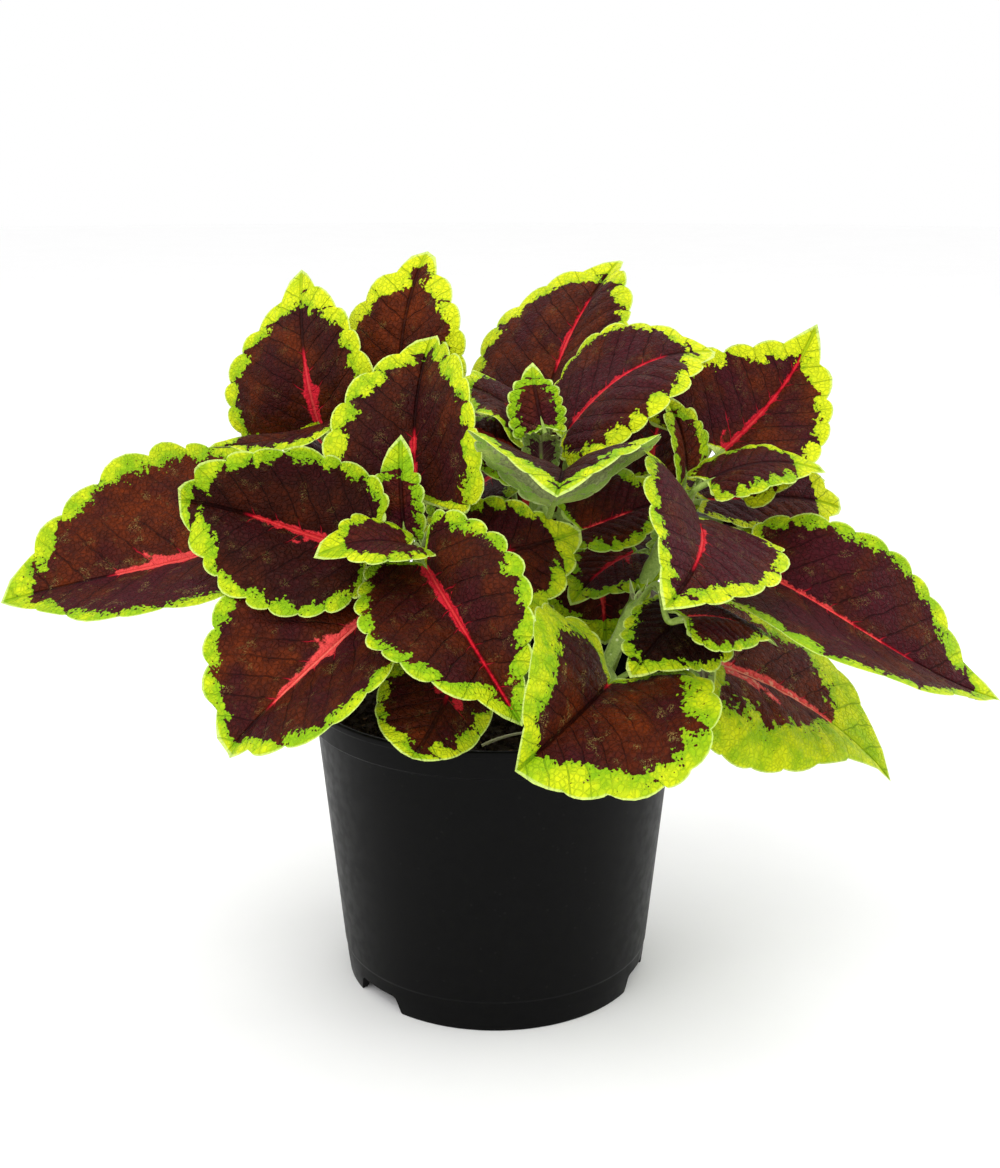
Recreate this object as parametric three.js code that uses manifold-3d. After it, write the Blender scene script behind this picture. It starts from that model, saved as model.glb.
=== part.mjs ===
// A potted coleus: six square stems rooted in potting soil in a round nursery pot, and forty-nine leaves.
// Millimetres, +Z up. The origin is the middle of the pot's foot, -Y is the front and +X the right.

import * as THREE from 'three';
import { ParametricGeometry } from 'three/addons/geometries/ParametricGeometry.js';
import { mergeGeometries, mergeVertices } from 'three/addons/utils/BufferGeometryUtils.js';
import Module from 'manifold-3d';

const wasm = await Module();
wasm.setup();

// ---- driving dimensions ----

const GAP = 0.3;                      // clearance between pieces that touch
const UP = new THREE.Vector3(0, 0, 1);

const POT = {
  height: 120,
  rimRadius: 75,
  rimWall: 1.9,
  rimDepth: 11,                       // height of the collar below the rim
  rimFootRadius: 74.1,
  wallTopRadius: 71.5,
  wallLowRadius: 62.2,                // at the top of the base band
  baseBand: 13,
  footRadius: 60.6,
  footWidth: 2.6,
  wall: 1.5,
  floorUnderside: 5,
  floorTop: 6.5,
  bevel: 0.6,
  segments: 40,
};

const DRAIN = {
  angles: [-49.5, 70.5, 190.5],       // degrees from the front, towards the right
  innerRadius: 54,
  outerRadius: 70,
  bottomWidth: 27,
  topWidth: 21,
  height: 7,
};

const SOIL_TOP = 107;
const ROOT_DEPTH = 19;                // how deep the stems reach into the soil

const STEM = { radius: 2.6, sides: 8, steps: 9, squareness: 4 };
const BUD = { length: 9, halfWidth: 2.2, thickness: 1.6, lean: 14 };
const PETIOLE = {
  radius: 1.1,
  youngRadius: 0.8,                   // on a leaf narrower than youngHalf to each side
  youngHalf: 15,
  sides: 5,
  steps: 4,
  lead: 4,                            // straight stretch before the blade
  seat: 8,                            // how far it runs on beneath the midrib
  sink: 0.8,                          // depth of its axis below the midrib, as a share of its radius
};
const BLADE = { thickness: 0.9, slices: 4, stacks: 6, baseCrowding: 1.4, lobePower: 7 };

const FINISH = {
  leaf: { color: 0x4a1519, roughness: 0.6 },
  stem: { color: 0x9fb35a, roughness: 0.7 },
  soil: { color: 0x2b1d14, roughness: 0.95 },
  pot: { color: 0x191918, roughness: 0.45 },
};

// Each stem is one bent line: the place on the plan where it leaves the root, the bend and the growing tip.
const STEMS = {
  front: { root: [-18, -8], bend: [-20, -20, 140], top: [-29, -29, 181] },
  middle: { root: [8, 2], bend: [12, 3, 160], top: [19, -3, 221] },
  right: { root: [34, -2], bend: [50, 2, 150], top: [74, 0, 193] },
  low: { root: [30, -24], bend: [38, -30, 135], top: [54, -27, 162] },
  back_left: { root: [-16, 20], bend: [-32, 36, 150], top: [-56, 37, 203] },
  back_right: { root: [16, 26], bend: [26, 46, 150], top: [32, 50, 206] },
};

// How a leaf grows when its row says nothing else. Angles are in degrees, and pairs run left, right
// as seen from the base of the blade looking to its tip.
const HABIT = {
  roll: 0,              // turn about the midrib that raises the left side
  lift: [10, 10],       // slope of each side where it leaves the midrib
  curl: [-25, -25],     // how far that slope changes out to the margin
  twist: 0,             // further turn about the midrib by the tip
  arch: [0.15, 0.15],   // rise of the midrib at a third and two thirds, as a share of its length
  sway: 0,              // sideways bow of the midrib, as a share of its length
  lobe: 0.2,            // how far the base lobes reach back, as a share of the length
  taper: [0.55, 1],     // fullness towards the base and towards the tip
  rise: 0.12,           // how high the leaf stalk arches, as a share of its length
};
const LEAST_CURL = 0.01; // a side with no curl is bent this little, so that its radius stays finite

// The leaves of each stem: where along it the leaf stalk leaves (0 root, 1 tip), where the blade begins
// and ends, its half widths, and its own habit.
const LEAVES = {
  front: [
    { name: 'front_leaf_left', at: 0.86, base: [-46, -28, 181], tip: [-120, -11, 197], half: [35, 33],
      roll: -45, lift: [25, 45], curl: [-30, -10], twist: -30, arch: [-0.05, 0.15], lobe: 0.15,
      taper: [0.5, 0.8] },
    { name: 'front_leaf_lower_left', at: 0.78, base: [-38, -36, 168], tip: [-95, -72, 119], half: [41, 45],
      roll: -15, lift: [25, 15], curl: [-20, 10], arch: [0.05, 0.1], sway: 0.05, taper: [0.7, 0.7] },
    { name: 'front_leaf_upright', at: 0.9, base: [-29, -14, 196], tip: [-25, 30, 254], half: [34, 37],
      roll: -5, lift: [25, 35], curl: [-10, 0], twist: -20, arch: [0.1, 0.1], sway: 0.05,
      taper: [0.5, 1] },
    { name: 'front_young_leaf_upright', at: 0.92, rise: 0.04, base: [-34, -24, 188], tip: [-35, -18, 223],
      half: [12, 9],
      roll: -20, lift: [15, 15], curl: [-20, -20], arch: [0.1, 0.1], taper: [0.5, 1] },
    { name: 'front_young_leaf_left', at: 0.92, base: [-30, -45, 188], tip: [-64, -53, 186], half: [21, 19],
      lift: [10, 15], curl: [-20, -10], twist: -20, sway: 0.05, taper: [0.6, 1] },
    { name: 'front_leaf_centre', at: 0.84, base: [-26, -42, 181], tip: [9, -106, 142], half: [31, 33],
      roll: 35, lift: [45, 20], curl: [-30, -10], twist: -25, arch: [0.05, 0.15], taper: [0.8, 1.1] },
    { name: 'front_leaf_right', at: 0.72, base: [-21, -30, 177], tip: [32, -18, 187], half: [25, 29],
      roll: 40, lift: [15, 5], curl: [-20, -30], twist: 5, arch: [0.1, 0.1], sway: -0.1,
      taper: [0.6, 1] },
    { name: 'front_leaf_over_rim', at: 0.52, base: [-12, -48, 149], tip: [-28, -96, 126], half: [18, 25],
      roll: -20, lift: [0, 0], curl: [-30, -20], twist: 10, arch: [0.1, 0], sway: 0.05,
      taper: [0.6, 0.6] },
  ],
  middle: [
    { name: 'middle_leaf_back', at: 0.84, rise: 0, base: [21, 39, 228], tip: [52, 81, 280], half: [40, 34],
      roll: -5, lift: [25, 20], curl: [-30, -30], twist: -10, arch: [0.05, 0.05], sway: 0.05,
      taper: [0.5, 0.9] },
    { name: 'middle_leaf_right', at: 0.86, base: [26, 11, 217], tip: [85, 17, 250], half: [34, 33],
      roll: 10, lift: [15, 5], curl: [-10, -30], twist: 10, arch: [0.2, 0.25], sway: -0.05, lobe: 0.12,
      taper: [0.6, 0.9] },
    { name: 'middle_leaf_cupped', at: 0.74, base: [21, -23, 197], tip: [21, -80, 214], half: [37, 36],
      roll: -5, lift: [32, 25], curl: [-15, -15], arch: [0.2, 0.3], sway: 0.05, lobe: 0.08,
      taper: [0.8, 0.8] },
    { name: 'middle_leaf_left', at: 0.97, base: [15, -7, 220], tip: [-13, 1, 240], half: [27, 27],
      roll: -5, lift: [5, 15], curl: [10, -70], twist: -10, arch: [0.15, 0.1], sway: -0.1,
      taper: [0.6, 0.6] },
    { name: 'middle_leaf_lower_left', at: 0.89, base: [10, -1, 210], tip: [-18, 9, 223], half: [17, 17],
      roll: -25 },
    { name: 'middle_young_leaf_upright', at: 0.97, base: [18, -23, 227], tip: [14, -11, 249], half: [12, 10],
      roll: -10, lift: [5, 5], curl: [-20, -30], arch: [0.05, 0.1], sway: 0.05, taper: [0.5, 1.1] },
    { name: 'middle_young_leaf_front', at: 0.86, base: [17, -29, 213], tip: [16, -43, 228], half: [8, 8],
      lift: [35, 35], curl: [-10, -10], arch: [0.2, 0.2] },
    { name: 'middle_leaf_lower_right', at: 0.65, base: [32, -6, 184], tip: [68, -1, 195], half: [26, 22],
      roll: 5, lift: [40, 10], curl: [-20, -40], twist: 5, arch: [0, 0.05], taper: [0.6, 0.9] },
    { name: 'middle_leaf_lower_back', at: 0.7, base: [16, 31, 211], tip: [27, 78, 240], half: [23, 23],
      roll: -6 },
    { name: 'middle_leaf_hanging', at: 0.6, base: [2, 27, 200], tip: [-24, 6, 176], half: [22, 22] },
  ],
  right: [
    { name: 'right_leaf_saddle', at: 0.85, base: [73, -28, 195], tip: [57, -92, 178], half: [32, 35],
      roll: -25, lift: [0, 55], curl: [0, -40], twist: 15, arch: [0.15, 0.1], sway: 0.1,
      taper: [0.5, 1] },
    { name: 'right_leaf_far_right', at: 0.52, base: [105, -19, 169], tip: [189, -40, 127], half: [37, 45],
      roll: 25, lift: [25, 15], curl: [10, 0], twist: -25, arch: [0.1, 0], sway: -0.1, lobe: 0.3,
      taper: [0.8, 1.1] },
    { name: 'right_leaf_upper', at: 0.93, rise: 0.06, base: [88, 19, 209], tip: [132, 56, 256],
      half: [38, 34],
      roll: 25, lift: [25, 20], curl: [0, -20], twist: 15, arch: [-0.05, -0.1], sway: -0.05, lobe: 0.3,
      taper: [0.45, 1.3] },
    { name: 'right_leaf_small', at: 0.9, base: [80, -9, 204], tip: [127, 0, 206], half: [18, 21],
      roll: 10, lift: [10, 5], curl: [-30, -10], twist: 10, sway: 0.05, lobe: 0.15, taper: [0.5, 1] },
    { name: 'right_leaf_back', at: 0.87, base: [82, 18, 191], tip: [140, 29, 185], half: [23, 24],
      roll: 10, lift: [25, 10], curl: [-30, -30], twist: 20, arch: [0, 0.1], sway: 0.05,
      taper: [0.6, 0.7] },
    { name: 'right_leaf_folded', at: 0.88, base: [75, 13, 202], tip: [66, 22, 232], half: [13, 12],
      lift: [30, 30] },
    { name: 'right_leaf_rear_upper', at: 0.8, base: [94, 30, 183], tip: [139, 75, 189], half: [24, 24],
      roll: 8 },
    { name: 'right_leaf_rear_lower', at: 0.72, base: [83, 19, 171], tip: [107, 80, 173], half: [26, 26],
      roll: -10 },
    { name: 'right_leaf_inner', at: 0.54, base: [58, 21, 169], tip: [30, 3, 152], half: [22, 22],
      roll: -10 },
  ],
  low: [
    { name: 'low_leaf_over_rim', at: 0.53, base: [42, -63, 143], tip: [7, -119, 131], half: [45, 39],
      roll: -25, lift: [35, 40], curl: [-10, -30], twist: -40, arch: [0.1, 0.1], sway: 0.05,
      taper: [0.6, 0.8] },
    { name: 'low_leaf_inner', at: 0.85, base: [72, -39, 161], tip: [48, -71, 147], half: [24, 18],
      roll: -15, lift: [5, 10], curl: [-30, -30], arch: [0.1, 0.1], taper: [0.5, 1] },
    { name: 'low_leaf_right', at: 0.95, rise: 0.3, base: [66, -62, 166], tip: [101, -61, 155], half: [22, 26],
      roll: -5, lift: [10, 5], curl: [-20, -40], sway: 0.05, lobe: 0.15, taper: [0.5, 1] },
    { name: 'low_leaf_drooping', at: 0.45, base: [80, -26, 139], tip: [155, -22, 87], half: [43, 48],
      lift: [40, 5], curl: [-20, -70], arch: [0.05, 0.1], sway: 0.1, lobe: 0.2, taper: [0.4, 1.1] },
  ],
  back_left: [
    { name: 'rear_left_leaf_wide', at: 0.62, base: [-83, 21, 179], tip: [-193, -5, 155], half: [48, 59],
      roll: 25, lift: [-15, 55], curl: [-20, 10], twist: -15, arch: [-0.05, 0], sway: 0.05, lobe: 0.15,
      taper: [0.5, 0.9] },
    { name: 'rear_left_leaf_upper', at: 0.9, base: [-71, 41, 214], tip: [-79, 56, 278], half: [41, 32],
      roll: -40, lift: [-5, 20], curl: [-10, -10], twist: -10, arch: [0.25, 0.15], lobe: 0.15,
      taper: [0.4, 1] },
    { name: 'rear_left_leaf_tall', at: 0.88, rise: 0.04, base: [-39, 34, 215], tip: [-28, 62, 285],
      half: [31, 32],
      roll: -15, lift: [20, 10], curl: [-30, -20], twist: 5, arch: [0.1, 0.15], taper: [0.6, 1] },
    { name: 'rear_left_leaf_edge_on', at: 0.94, base: [-63, 18, 222], tip: [-110, 4, 215], half: [18, 19],
      roll: 5, curl: [-20, -40], twist: -15, arch: [-0.05, -0.05], taper: [0.6, 0.9] },
    { name: 'rear_left_leaf_1', at: 0.96, base: [-44, 46, 208], tip: [-52, 98, 236], half: [26, 26],
      roll: -8 },
    { name: 'rear_left_leaf_2', at: 0.76, base: [-67, 62, 197], tip: [-110, 96, 214], half: [27, 27],
      roll: 10 },
    { name: 'rear_left_leaf_3', at: 0.79, base: [-30, 52, 190], tip: [-8, 100, 216], half: [25, 25],
      roll: -10 },
    { name: 'rear_left_leaf_4', at: 0.56, base: [-70, 33, 168], tip: [-140, 61, 158], half: [30, 30],
      roll: -12 },
    { name: 'rear_left_leaf_5', at: 0.57, base: [-36, 55, 168], tip: [-48, 95, 191], half: [28, 28],
      roll: 8 },
    { name: 'rear_left_leaf_6', at: 0.43, base: [-52, 24, 148], tip: [-112, 74, 124], half: [29, 29],
      roll: 8 },
  ],
  back_right: [
    { name: 'rear_right_leaf_inner', at: 0.5, base: [42, 43, 163], tip: [45, 21, 130], half: [22, 27] },
    { name: 'rear_right_leaf_1', at: 0.93, base: [26, 54, 212], tip: [30, 94, 246], half: [24, 24],
      roll: 6 },
    { name: 'rear_right_leaf_2', at: 0.86, base: [66, 63, 191], tip: [80, 79, 235], half: [31, 28] },
    { name: 'rear_right_leaf_3', at: 0.76, base: [14, 54, 168], tip: [24, 88, 214], half: [27, 27],
      roll: 5 },
    { name: 'rear_right_leaf_4', at: 0.58, base: [56, 49, 169], tip: [127, 79, 157], half: [30, 30],
      roll: 10 },
    { name: 'rear_right_leaf_5', at: 0.53, base: [36, 56, 158], tip: [52, 121, 140], half: [29, 29],
      roll: -6 },
    { name: 'rear_right_leaf_6', at: 0.5, base: [67, 45, 148], tip: [93, 62, 94], half: [30, 30],
      roll: -6 },
    { name: 'rear_right_leaf_7', at: 0.3, base: [8, 34, 140], tip: [6, 92, 120], half: [27, 27],
      roll: 6 },
  ],
};

// ---- solids ----

/** A closed geometry as a solid that can be joined and cut. */
function toSolid(geometry) {
  geometry.deleteAttribute('normal');
  geometry.deleteAttribute('uv');
  const merged = mergeVertices(geometry);
  const corners = merged.index.array;
  const triVerts = [];
  for (let i = 0; i < corners.length; i += 3) {
    const [a, b, c] = corners.slice(i, i + 3);
    if (a !== b && b !== c && c !== a) triVerts.push(a, b, c);
  }
  const mesh = new wasm.Mesh({
    numProp: 3,
    vertProperties: merged.attributes.position.array,
    triVerts: new Uint32Array(triVerts),
  });
  return new wasm.Manifold(mesh);
}

/** A solid as a named mesh whose own origin is the given point. */
function toMesh(name, solid, { color, roughness }, origin = [0, 0, 0]) {
  const { vertProperties, triVerts } = solid.getMesh();
  const geometry = new THREE.BufferGeometry();
  geometry.setAttribute('position', new THREE.BufferAttribute(new Float32Array(vertProperties), 3));
  geometry.setIndex(new THREE.BufferAttribute(new Uint32Array(triVerts), 1));
  geometry.translate(...origin.map((value) => -value));
  geometry.computeVertexNormals();
  const mesh = new THREE.Mesh(geometry, new THREE.MeshStandardMaterial({ color, roughness, metalness: 0 }));
  mesh.name = name;
  mesh.position.set(...origin);
  return mesh;
}

/** A profile of [radius, height] pairs turned about the Z axis. */
function turned(profile, segments) {
  const points = profile.map(([radius, height]) => new THREE.Vector2(radius, height));
  return toSolid(new THREE.LatheGeometry(points, segments).rotateX(Math.PI / 2));
}

/** A rod of the given section along a curve. */
function rod(curve, section, steps) {
  return toSolid(new THREE.ExtrudeGeometry(section, { extrudePath: curve, steps, bevelEnabled: false }));
}

/** A regular section, whose power above 2 squares its corners out. */
function section(radius, sides, power = 2) {
  const shape = new THREE.Shape();
  for (let i = 0; i < sides; i += 1) {
    const angle = (2 * Math.PI * i) / sides;
    const [x, y] = [Math.cos(angle), Math.sin(angle)];
    const reach = radius / (Math.abs(x) ** power + Math.abs(y) ** power) ** (1 / power);
    const point = [reach * x, reach * y];
    if (i === 0) shape.moveTo(...point);
    else shape.lineTo(...point);
  }
  shape.closePath();
  return shape;
}

// ---- pot and soil ----

/** Radius of the pot's inner wall at a height between the floor and the collar. */
function innerRadiusAt(height) {
  const share = (height - POT.baseBand) / (POT.height - POT.rimDepth - POT.baseBand);
  return THREE.MathUtils.lerp(POT.wallLowRadius, POT.wallTopRadius, share) - POT.wall;
}

function potSolid() {
  const collarFoot = POT.height - POT.rimDepth;
  const rimInner = POT.rimRadius - POT.rimWall;
  const profile = [
    [0, POT.floorUnderside],
    [POT.footRadius - POT.footWidth - POT.wall, POT.floorUnderside],
    [POT.footRadius - POT.footWidth, 0],
    [POT.footRadius, 0],
    [POT.wallLowRadius, POT.baseBand],
    [POT.wallTopRadius, collarFoot - POT.wall],
    [POT.rimFootRadius, collarFoot],
    [POT.rimRadius, POT.height - POT.bevel],
    [POT.rimRadius - POT.bevel, POT.height],
    [rimInner + POT.bevel, POT.height],
    [rimInner, POT.height - POT.bevel],
    [POT.rimFootRadius - POT.rimWall, collarFoot + POT.wall],
    [POT.wallTopRadius - POT.wall, collarFoot],
    [POT.wallLowRadius - POT.wall, POT.baseBand],
    [innerRadiusAt(POT.floorTop), POT.floorTop],
    [0, POT.floorTop],
  ];
  return DRAIN.angles.reduce((pot, angle) => pot.subtract(drainCutter(angle)), turned(profile, POT.segments));
}

/** The wedge that opens one drainage notch through the foot, the lower wall and the edge of the floor. */
function drainCutter(angle) {
  const turn = THREE.MathUtils.degToRad(angle);
  const outward = new THREE.Vector3(Math.sin(turn), -Math.cos(turn), 0);
  const across = new THREE.Vector3().crossVectors(UP, outward);
  const outline = new THREE.Shape();
  outline.moveTo(-DRAIN.bottomWidth / 2, -1);
  outline.lineTo(DRAIN.bottomWidth / 2, -1);
  outline.lineTo(DRAIN.topWidth / 2, DRAIN.height);
  outline.lineTo(-DRAIN.topWidth / 2, DRAIN.height);
  outline.closePath();
  const depth = DRAIN.outerRadius - DRAIN.innerRadius;
  const wedge = new THREE.ExtrudeGeometry(outline, { depth, bevelEnabled: false });
  const place = new THREE.Matrix4().makeBasis(across, UP, outward);
  wedge.applyMatrix4(place.setPosition(outward.multiplyScalar(DRAIN.innerRadius)));
  return toSolid(wedge);
}

function soilSolid() {
  const floor = POT.floorTop + GAP;
  const profile = [
    [0, floor],
    [innerRadiusAt(floor) - GAP, floor],
    [innerRadiusAt(POT.baseBand) - GAP, POT.baseBand],
    [innerRadiusAt(SOIL_TOP) - GAP, SOIL_TOP],
    [0, SOIL_TOP],
  ];
  const holes = Object.values(STEMS).map((stem) => stemRod(stem, STEM.radius + GAP, GAP));
  return holes.reduce((soil, hole) => soil.subtract(hole), turned(profile, POT.segments));
}

// ---- stems ----

/** The line of a stem, lengthened at both ends when it serves as a cutter. */
function stemCurve({ root, bend, top }, extra = 0) {
  const low = new THREE.Vector3(...root, SOIL_TOP - ROOT_DEPTH - extra);
  const knee = new THREE.Vector3(...bend);
  const high = new THREE.Vector3(...top);
  high.addScaledVector(high.clone().sub(knee).normalize(), extra);
  return new THREE.QuadraticBezierCurve3(low, knee, high);
}

function stemRod(stem, radius, extra = 0) {
  return rod(stemCurve(stem, extra), section(radius, STEM.sides, STEM.squareness), STEM.steps);
}

/** One of the two folded bud leaves at a growing tip. */
function budBlade(curve, turn) {
  const foot = curve.getPoint(1);
  const outward = new THREE.Vector3(Math.cos(turn), Math.sin(turn), 0);
  const spread = Math.tan(THREE.MathUtils.degToRad(BUD.lean));
  const heading = UP.clone().addScaledVector(outward, spread).normalize();
  const tip = foot.clone().addScaledVector(heading, BUD.length);
  const half = [BUD.halfWidth, BUD.halfWidth];
  return bladeSolid({ ...HABIT, base: foot.toArray(), tip: tip.toArray(), half }, BUD.thickness);
}

function stemSolid(stem) {
  const curve = stemCurve(stem);
  return stemRod(stem, STEM.radius).add(budBlade(curve, 0)).add(budBlade(curve, Math.PI));
}

// ---- leaves ----

/** Half width of a blade at share t of its length, 1 at its widest. */
function fullness(t, [toBase, toTip]) {
  const widest = toBase / (toBase + toTip);
  return (t ** toBase * (1 - t) ** toTip) / (widest ** toBase * (1 - widest) ** toTip);
}

/** Where the margin lies along the blade beside midrib share t: the base lobes reach back past the stalk. */
function marginShare(t, lobe) {
  const deepest = 1 / (BLADE.lobePower + 1);
  const depthThere = deepest * (1 - deepest) ** BLADE.lobePower;
  return t - (lobe * t * (1 - t) ** BLADE.lobePower) / depthThere;
}

/** The frame of a blade: its midrib as a curve, and its up direction at the base. */
function bladeFrame({ base, tip, roll, arch, sway }) {
  const start = new THREE.Vector3(...base);
  const end = new THREE.Vector3(...tip);
  const along = end.clone().sub(start);
  const length = along.length();
  along.normalize();
  const up = UP.clone().addScaledVector(along, -along.z).normalize();
  up.applyAxisAngle(along, THREE.MathUtils.degToRad(roll));
  const left = new THREE.Vector3().crossVectors(up, along);
  const handle = (share, rise) => start.clone().addScaledVector(along, length * share)
    .addScaledVector(up, rise * length).addScaledVector(left, sway * length);
  const midrib = new THREE.CubicBezierCurve3(start, handle(1 / 3, arch[0]), handle(2 / 3, arch[1]), end);
  return { midrib, up, length };
}

/** A point of the blade: t along it, w across it from 1 at the left margin to -1 at the right one. */
function bladePoint(leaf, frame, t, w, offset) {
  const side = w < 0 ? -1 : 1;
  const pick = w < 0 ? 1 : 0;
  const reach = Math.abs(w);
  const share = t + (marginShare(t, leaf.lobe) - t) * reach;
  const out = leaf.half[pick] * fullness(t, leaf.taper) * reach;
  const along = THREE.MathUtils.clamp(share, 0, 1);
  const heading = frame.midrib.getTangent(along);
  const across = new THREE.Vector3().crossVectors(frame.up, heading).normalize();
  across.applyAxisAngle(heading, THREE.MathUtils.degToRad(leaf.twist) * along);
  const above = new THREE.Vector3().crossVectors(heading, across);
  const lift = THREE.MathUtils.degToRad(leaf.lift[pick]);
  const bending = THREE.MathUtils.degToRad(leaf.curl[pick] || LEAST_CURL) / leaf.half[pick];
  const slope = lift + bending * out;
  const run = (Math.sin(slope) - Math.sin(lift)) / bending;
  const rise = (Math.cos(lift) - Math.cos(slope)) / bending;
  const tilt = reach === 0 ? 0 : slope;
  return frame.midrib.getPoint(along)
    .addScaledVector(heading, Math.min(share, 0) * frame.length)
    .addScaledVector(across, side * (run - offset * Math.sin(tilt)))
    .addScaledVector(above, rise + offset * Math.cos(tilt));
}

/** A thin closed blade. Its two skins have the same triangles, one turned over, so that they never cross. */
function bladeSolid(leaf, thickness) {
  const frame = bladeFrame(leaf);
  const skin = (face) => new ParametricGeometry((u, v, target) => {
    const w = 1 - 2 * u;
    const t = v ** BLADE.baseCrowding;
    const fullThickness = thickness * (1 - w * w) * Math.sqrt(Math.sin(Math.PI * t));
    target.copy(bladePoint(leaf, frame, t, w, (face * fullThickness) / 2));
  }, BLADE.slices, BLADE.stacks);
  const upper = skin(1);
  const under = skin(-1);
  under.index.array.reverse();
  return toSolid(mergeGeometries([upper, under]));
}

/** The stalk of a leaf: it rises from the middle of the stem and ends beneath the midrib. */
function petioleSolid(leaf, stem) {
  const frame = bladeFrame(leaf);
  const radius = Math.max(...leaf.half) < PETIOLE.youngHalf ? PETIOLE.youngRadius : PETIOLE.radius;
  const from = stemCurve(stem).getPoint(leaf.at);
  const heading = frame.midrib.getTangent(0);
  const sink = radius * PETIOLE.sink;
  const neck = frame.midrib.getPoint(0).addScaledVector(frame.up, -sink);
  const seat = frame.midrib.getPoint(PETIOLE.seat / frame.length).addScaledVector(frame.up, -sink);
  const span = from.distanceTo(neck);
  const middle = from.clone().lerp(neck, 0.5).addScaledVector(UP, span * leaf.rise);
  const lead = neck.clone().addScaledVector(heading, -Math.min(PETIOLE.lead, span / 4));
  const route = new THREE.CatmullRomCurve3([from, middle, lead, neck, seat], false, 'centripetal');
  return rod(route, section(radius, PETIOLE.sides), PETIOLE.steps);
}

function leafSolid(leaf, stem) {
  const whole = bladeSolid(leaf, BLADE.thickness).add(petioleSolid(leaf, stem));
  return whole.subtract(stemRod(stem, STEM.radius + GAP, GAP));
}

// ---- the plant in its pot ----

const pottedColeus = new THREE.Group();

const holder = new THREE.Group();
holder.add(toMesh('nursery_pot', potSolid(), FINISH.pot));
holder.add(toMesh('potting_soil', soilSolid(), FINISH.soil));
pottedColeus.add(holder);

for (const [name, stem] of Object.entries(STEMS)) {
  const branch = new THREE.Group();
  branch.add(toMesh(`${name}_stem`, stemSolid(stem), FINISH.stem));
  for (const row of LEAVES[name]) {
    const leaf = { ...HABIT, ...row };
    branch.add(toMesh(leaf.name, leafSolid(leaf, stem), FINISH.leaf, leaf.base));
  }
  pottedColeus.add(branch);
}

export default pottedColeus;
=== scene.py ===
"""A potted coleus: six square stems in potting soil, forty-nine lime-edged maroon leaves, a black pot.

Shapes are worked out in millimetres, with the origin in the middle of the pot's foot, -Y to the front
and +X to the right, and are scaled to metres when a mesh is made. Colours are 0-255 screen values.
"""

from __future__ import annotations

import logging
import math
import zlib
from dataclasses import dataclass, field
from enum import Enum
from typing import Any

import bpy
import numpy as np
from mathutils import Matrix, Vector
from numpy.typing import NDArray

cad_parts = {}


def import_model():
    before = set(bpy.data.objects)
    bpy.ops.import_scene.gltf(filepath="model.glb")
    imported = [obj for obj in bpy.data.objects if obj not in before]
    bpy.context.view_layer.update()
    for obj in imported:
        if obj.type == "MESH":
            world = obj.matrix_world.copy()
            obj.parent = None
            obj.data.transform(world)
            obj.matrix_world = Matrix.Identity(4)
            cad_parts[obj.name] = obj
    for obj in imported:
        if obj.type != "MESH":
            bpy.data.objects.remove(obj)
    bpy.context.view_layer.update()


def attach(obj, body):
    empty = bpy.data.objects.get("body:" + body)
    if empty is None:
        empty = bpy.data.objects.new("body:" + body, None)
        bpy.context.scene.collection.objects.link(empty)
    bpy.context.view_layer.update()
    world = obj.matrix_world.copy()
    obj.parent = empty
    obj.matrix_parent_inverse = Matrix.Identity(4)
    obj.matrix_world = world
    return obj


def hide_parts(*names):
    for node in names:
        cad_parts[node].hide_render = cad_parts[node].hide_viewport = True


Array = NDArray[np.float64]
Triangles = NDArray[np.int64]
Point = tuple[float, float, float]
Pair = tuple[float, float]
Ramp = tuple[float, float, float, float]  # a low and a high end, and what they are carried to
Colour = tuple[int, int, int]

LOG = logging.getLogger("coleus")
MM = 0.001  # metres in a millimetre
FLAT_UNIT = 100.0  # millimetres in one unit of the flat coordinates
GAP = 0.3  # millimetres of room between two pieces
SHORT = 1e-3  # a cross product this short gives no direction
CIRCLE = 2 * math.pi
UP = np.array([0.0, 0.0, 1.0])
RIGHT = np.array([1.0, 0.0, 0.0])


class Side(Enum):
    """The half of a blade, as seen from its base looking to its tip."""

    LEFT = 1
    RIGHT = -1

    @property
    def index(self) -> int:
        """Place of this side's number in a pair of numbers."""
        return 0 if self is Side.LEFT else 1


class Skin(Enum):
    """The face of a blade."""

    UPPER = 1
    UNDER = -1


class LeafCoat(int, Enum):
    """Places in the list of materials of a leaf or a stem."""

    UPPER = 0
    UNDER = 1
    STALK = 2


class SoilCoat(int, Enum):
    """Places in the soil's list of materials."""

    MIX = 0
    STRAW = 1


class Slot(str, Enum):
    """The material slots of the record."""

    LEAF = "leaf"
    YOUNG_LEAF = "young_leaf"
    STEM = "stem"
    SOIL = "potting_soil"
    POT = "pot_plastic"


class Field(str, Enum):
    """Numbers that a leaf's mesh carries at each point for its materials."""

    EDGE = "edge_mm"
    BAY = "bay"
    BAND = "band_mm"
    RED = "red_mm"
    VEIN = "vein"
    RIB = "rib_mm"
    # purple: partly the blade's own plum tone, partly a painted sheen
    PURPLE_AND_SHEEN = "purple"
    # red-brown (rust): partly the blade's own tone, partly painted light shining through the leaf
    RED_BROWN_AND_BACKLIGHT = "rust"
    YELLOW = "yellow"
    CORAL = "coral"
    SPECKLE = "speckle"
    # painted shade: a number by which the whole dark blade of a leaf is darkened
    PAINTED_SHADE = "shade"


# ---- numbers ----


def unit(vectors: Array) -> Array:
    """Each vector divided by its length, or by a hair where it has none."""
    return vectors / np.maximum(np.linalg.norm(vectors, axis=-1, keepdims=True), 1e-12)


def smoothstep(low: float, high: float, values: Array) -> Array:
    """0 below low, 1 above high, and 3t^2 - 2t^3 of the share t between them."""
    t = np.clip((values - low) / (high - low), 0, 1)
    return t * t * (3 - 2 * t)


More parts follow.
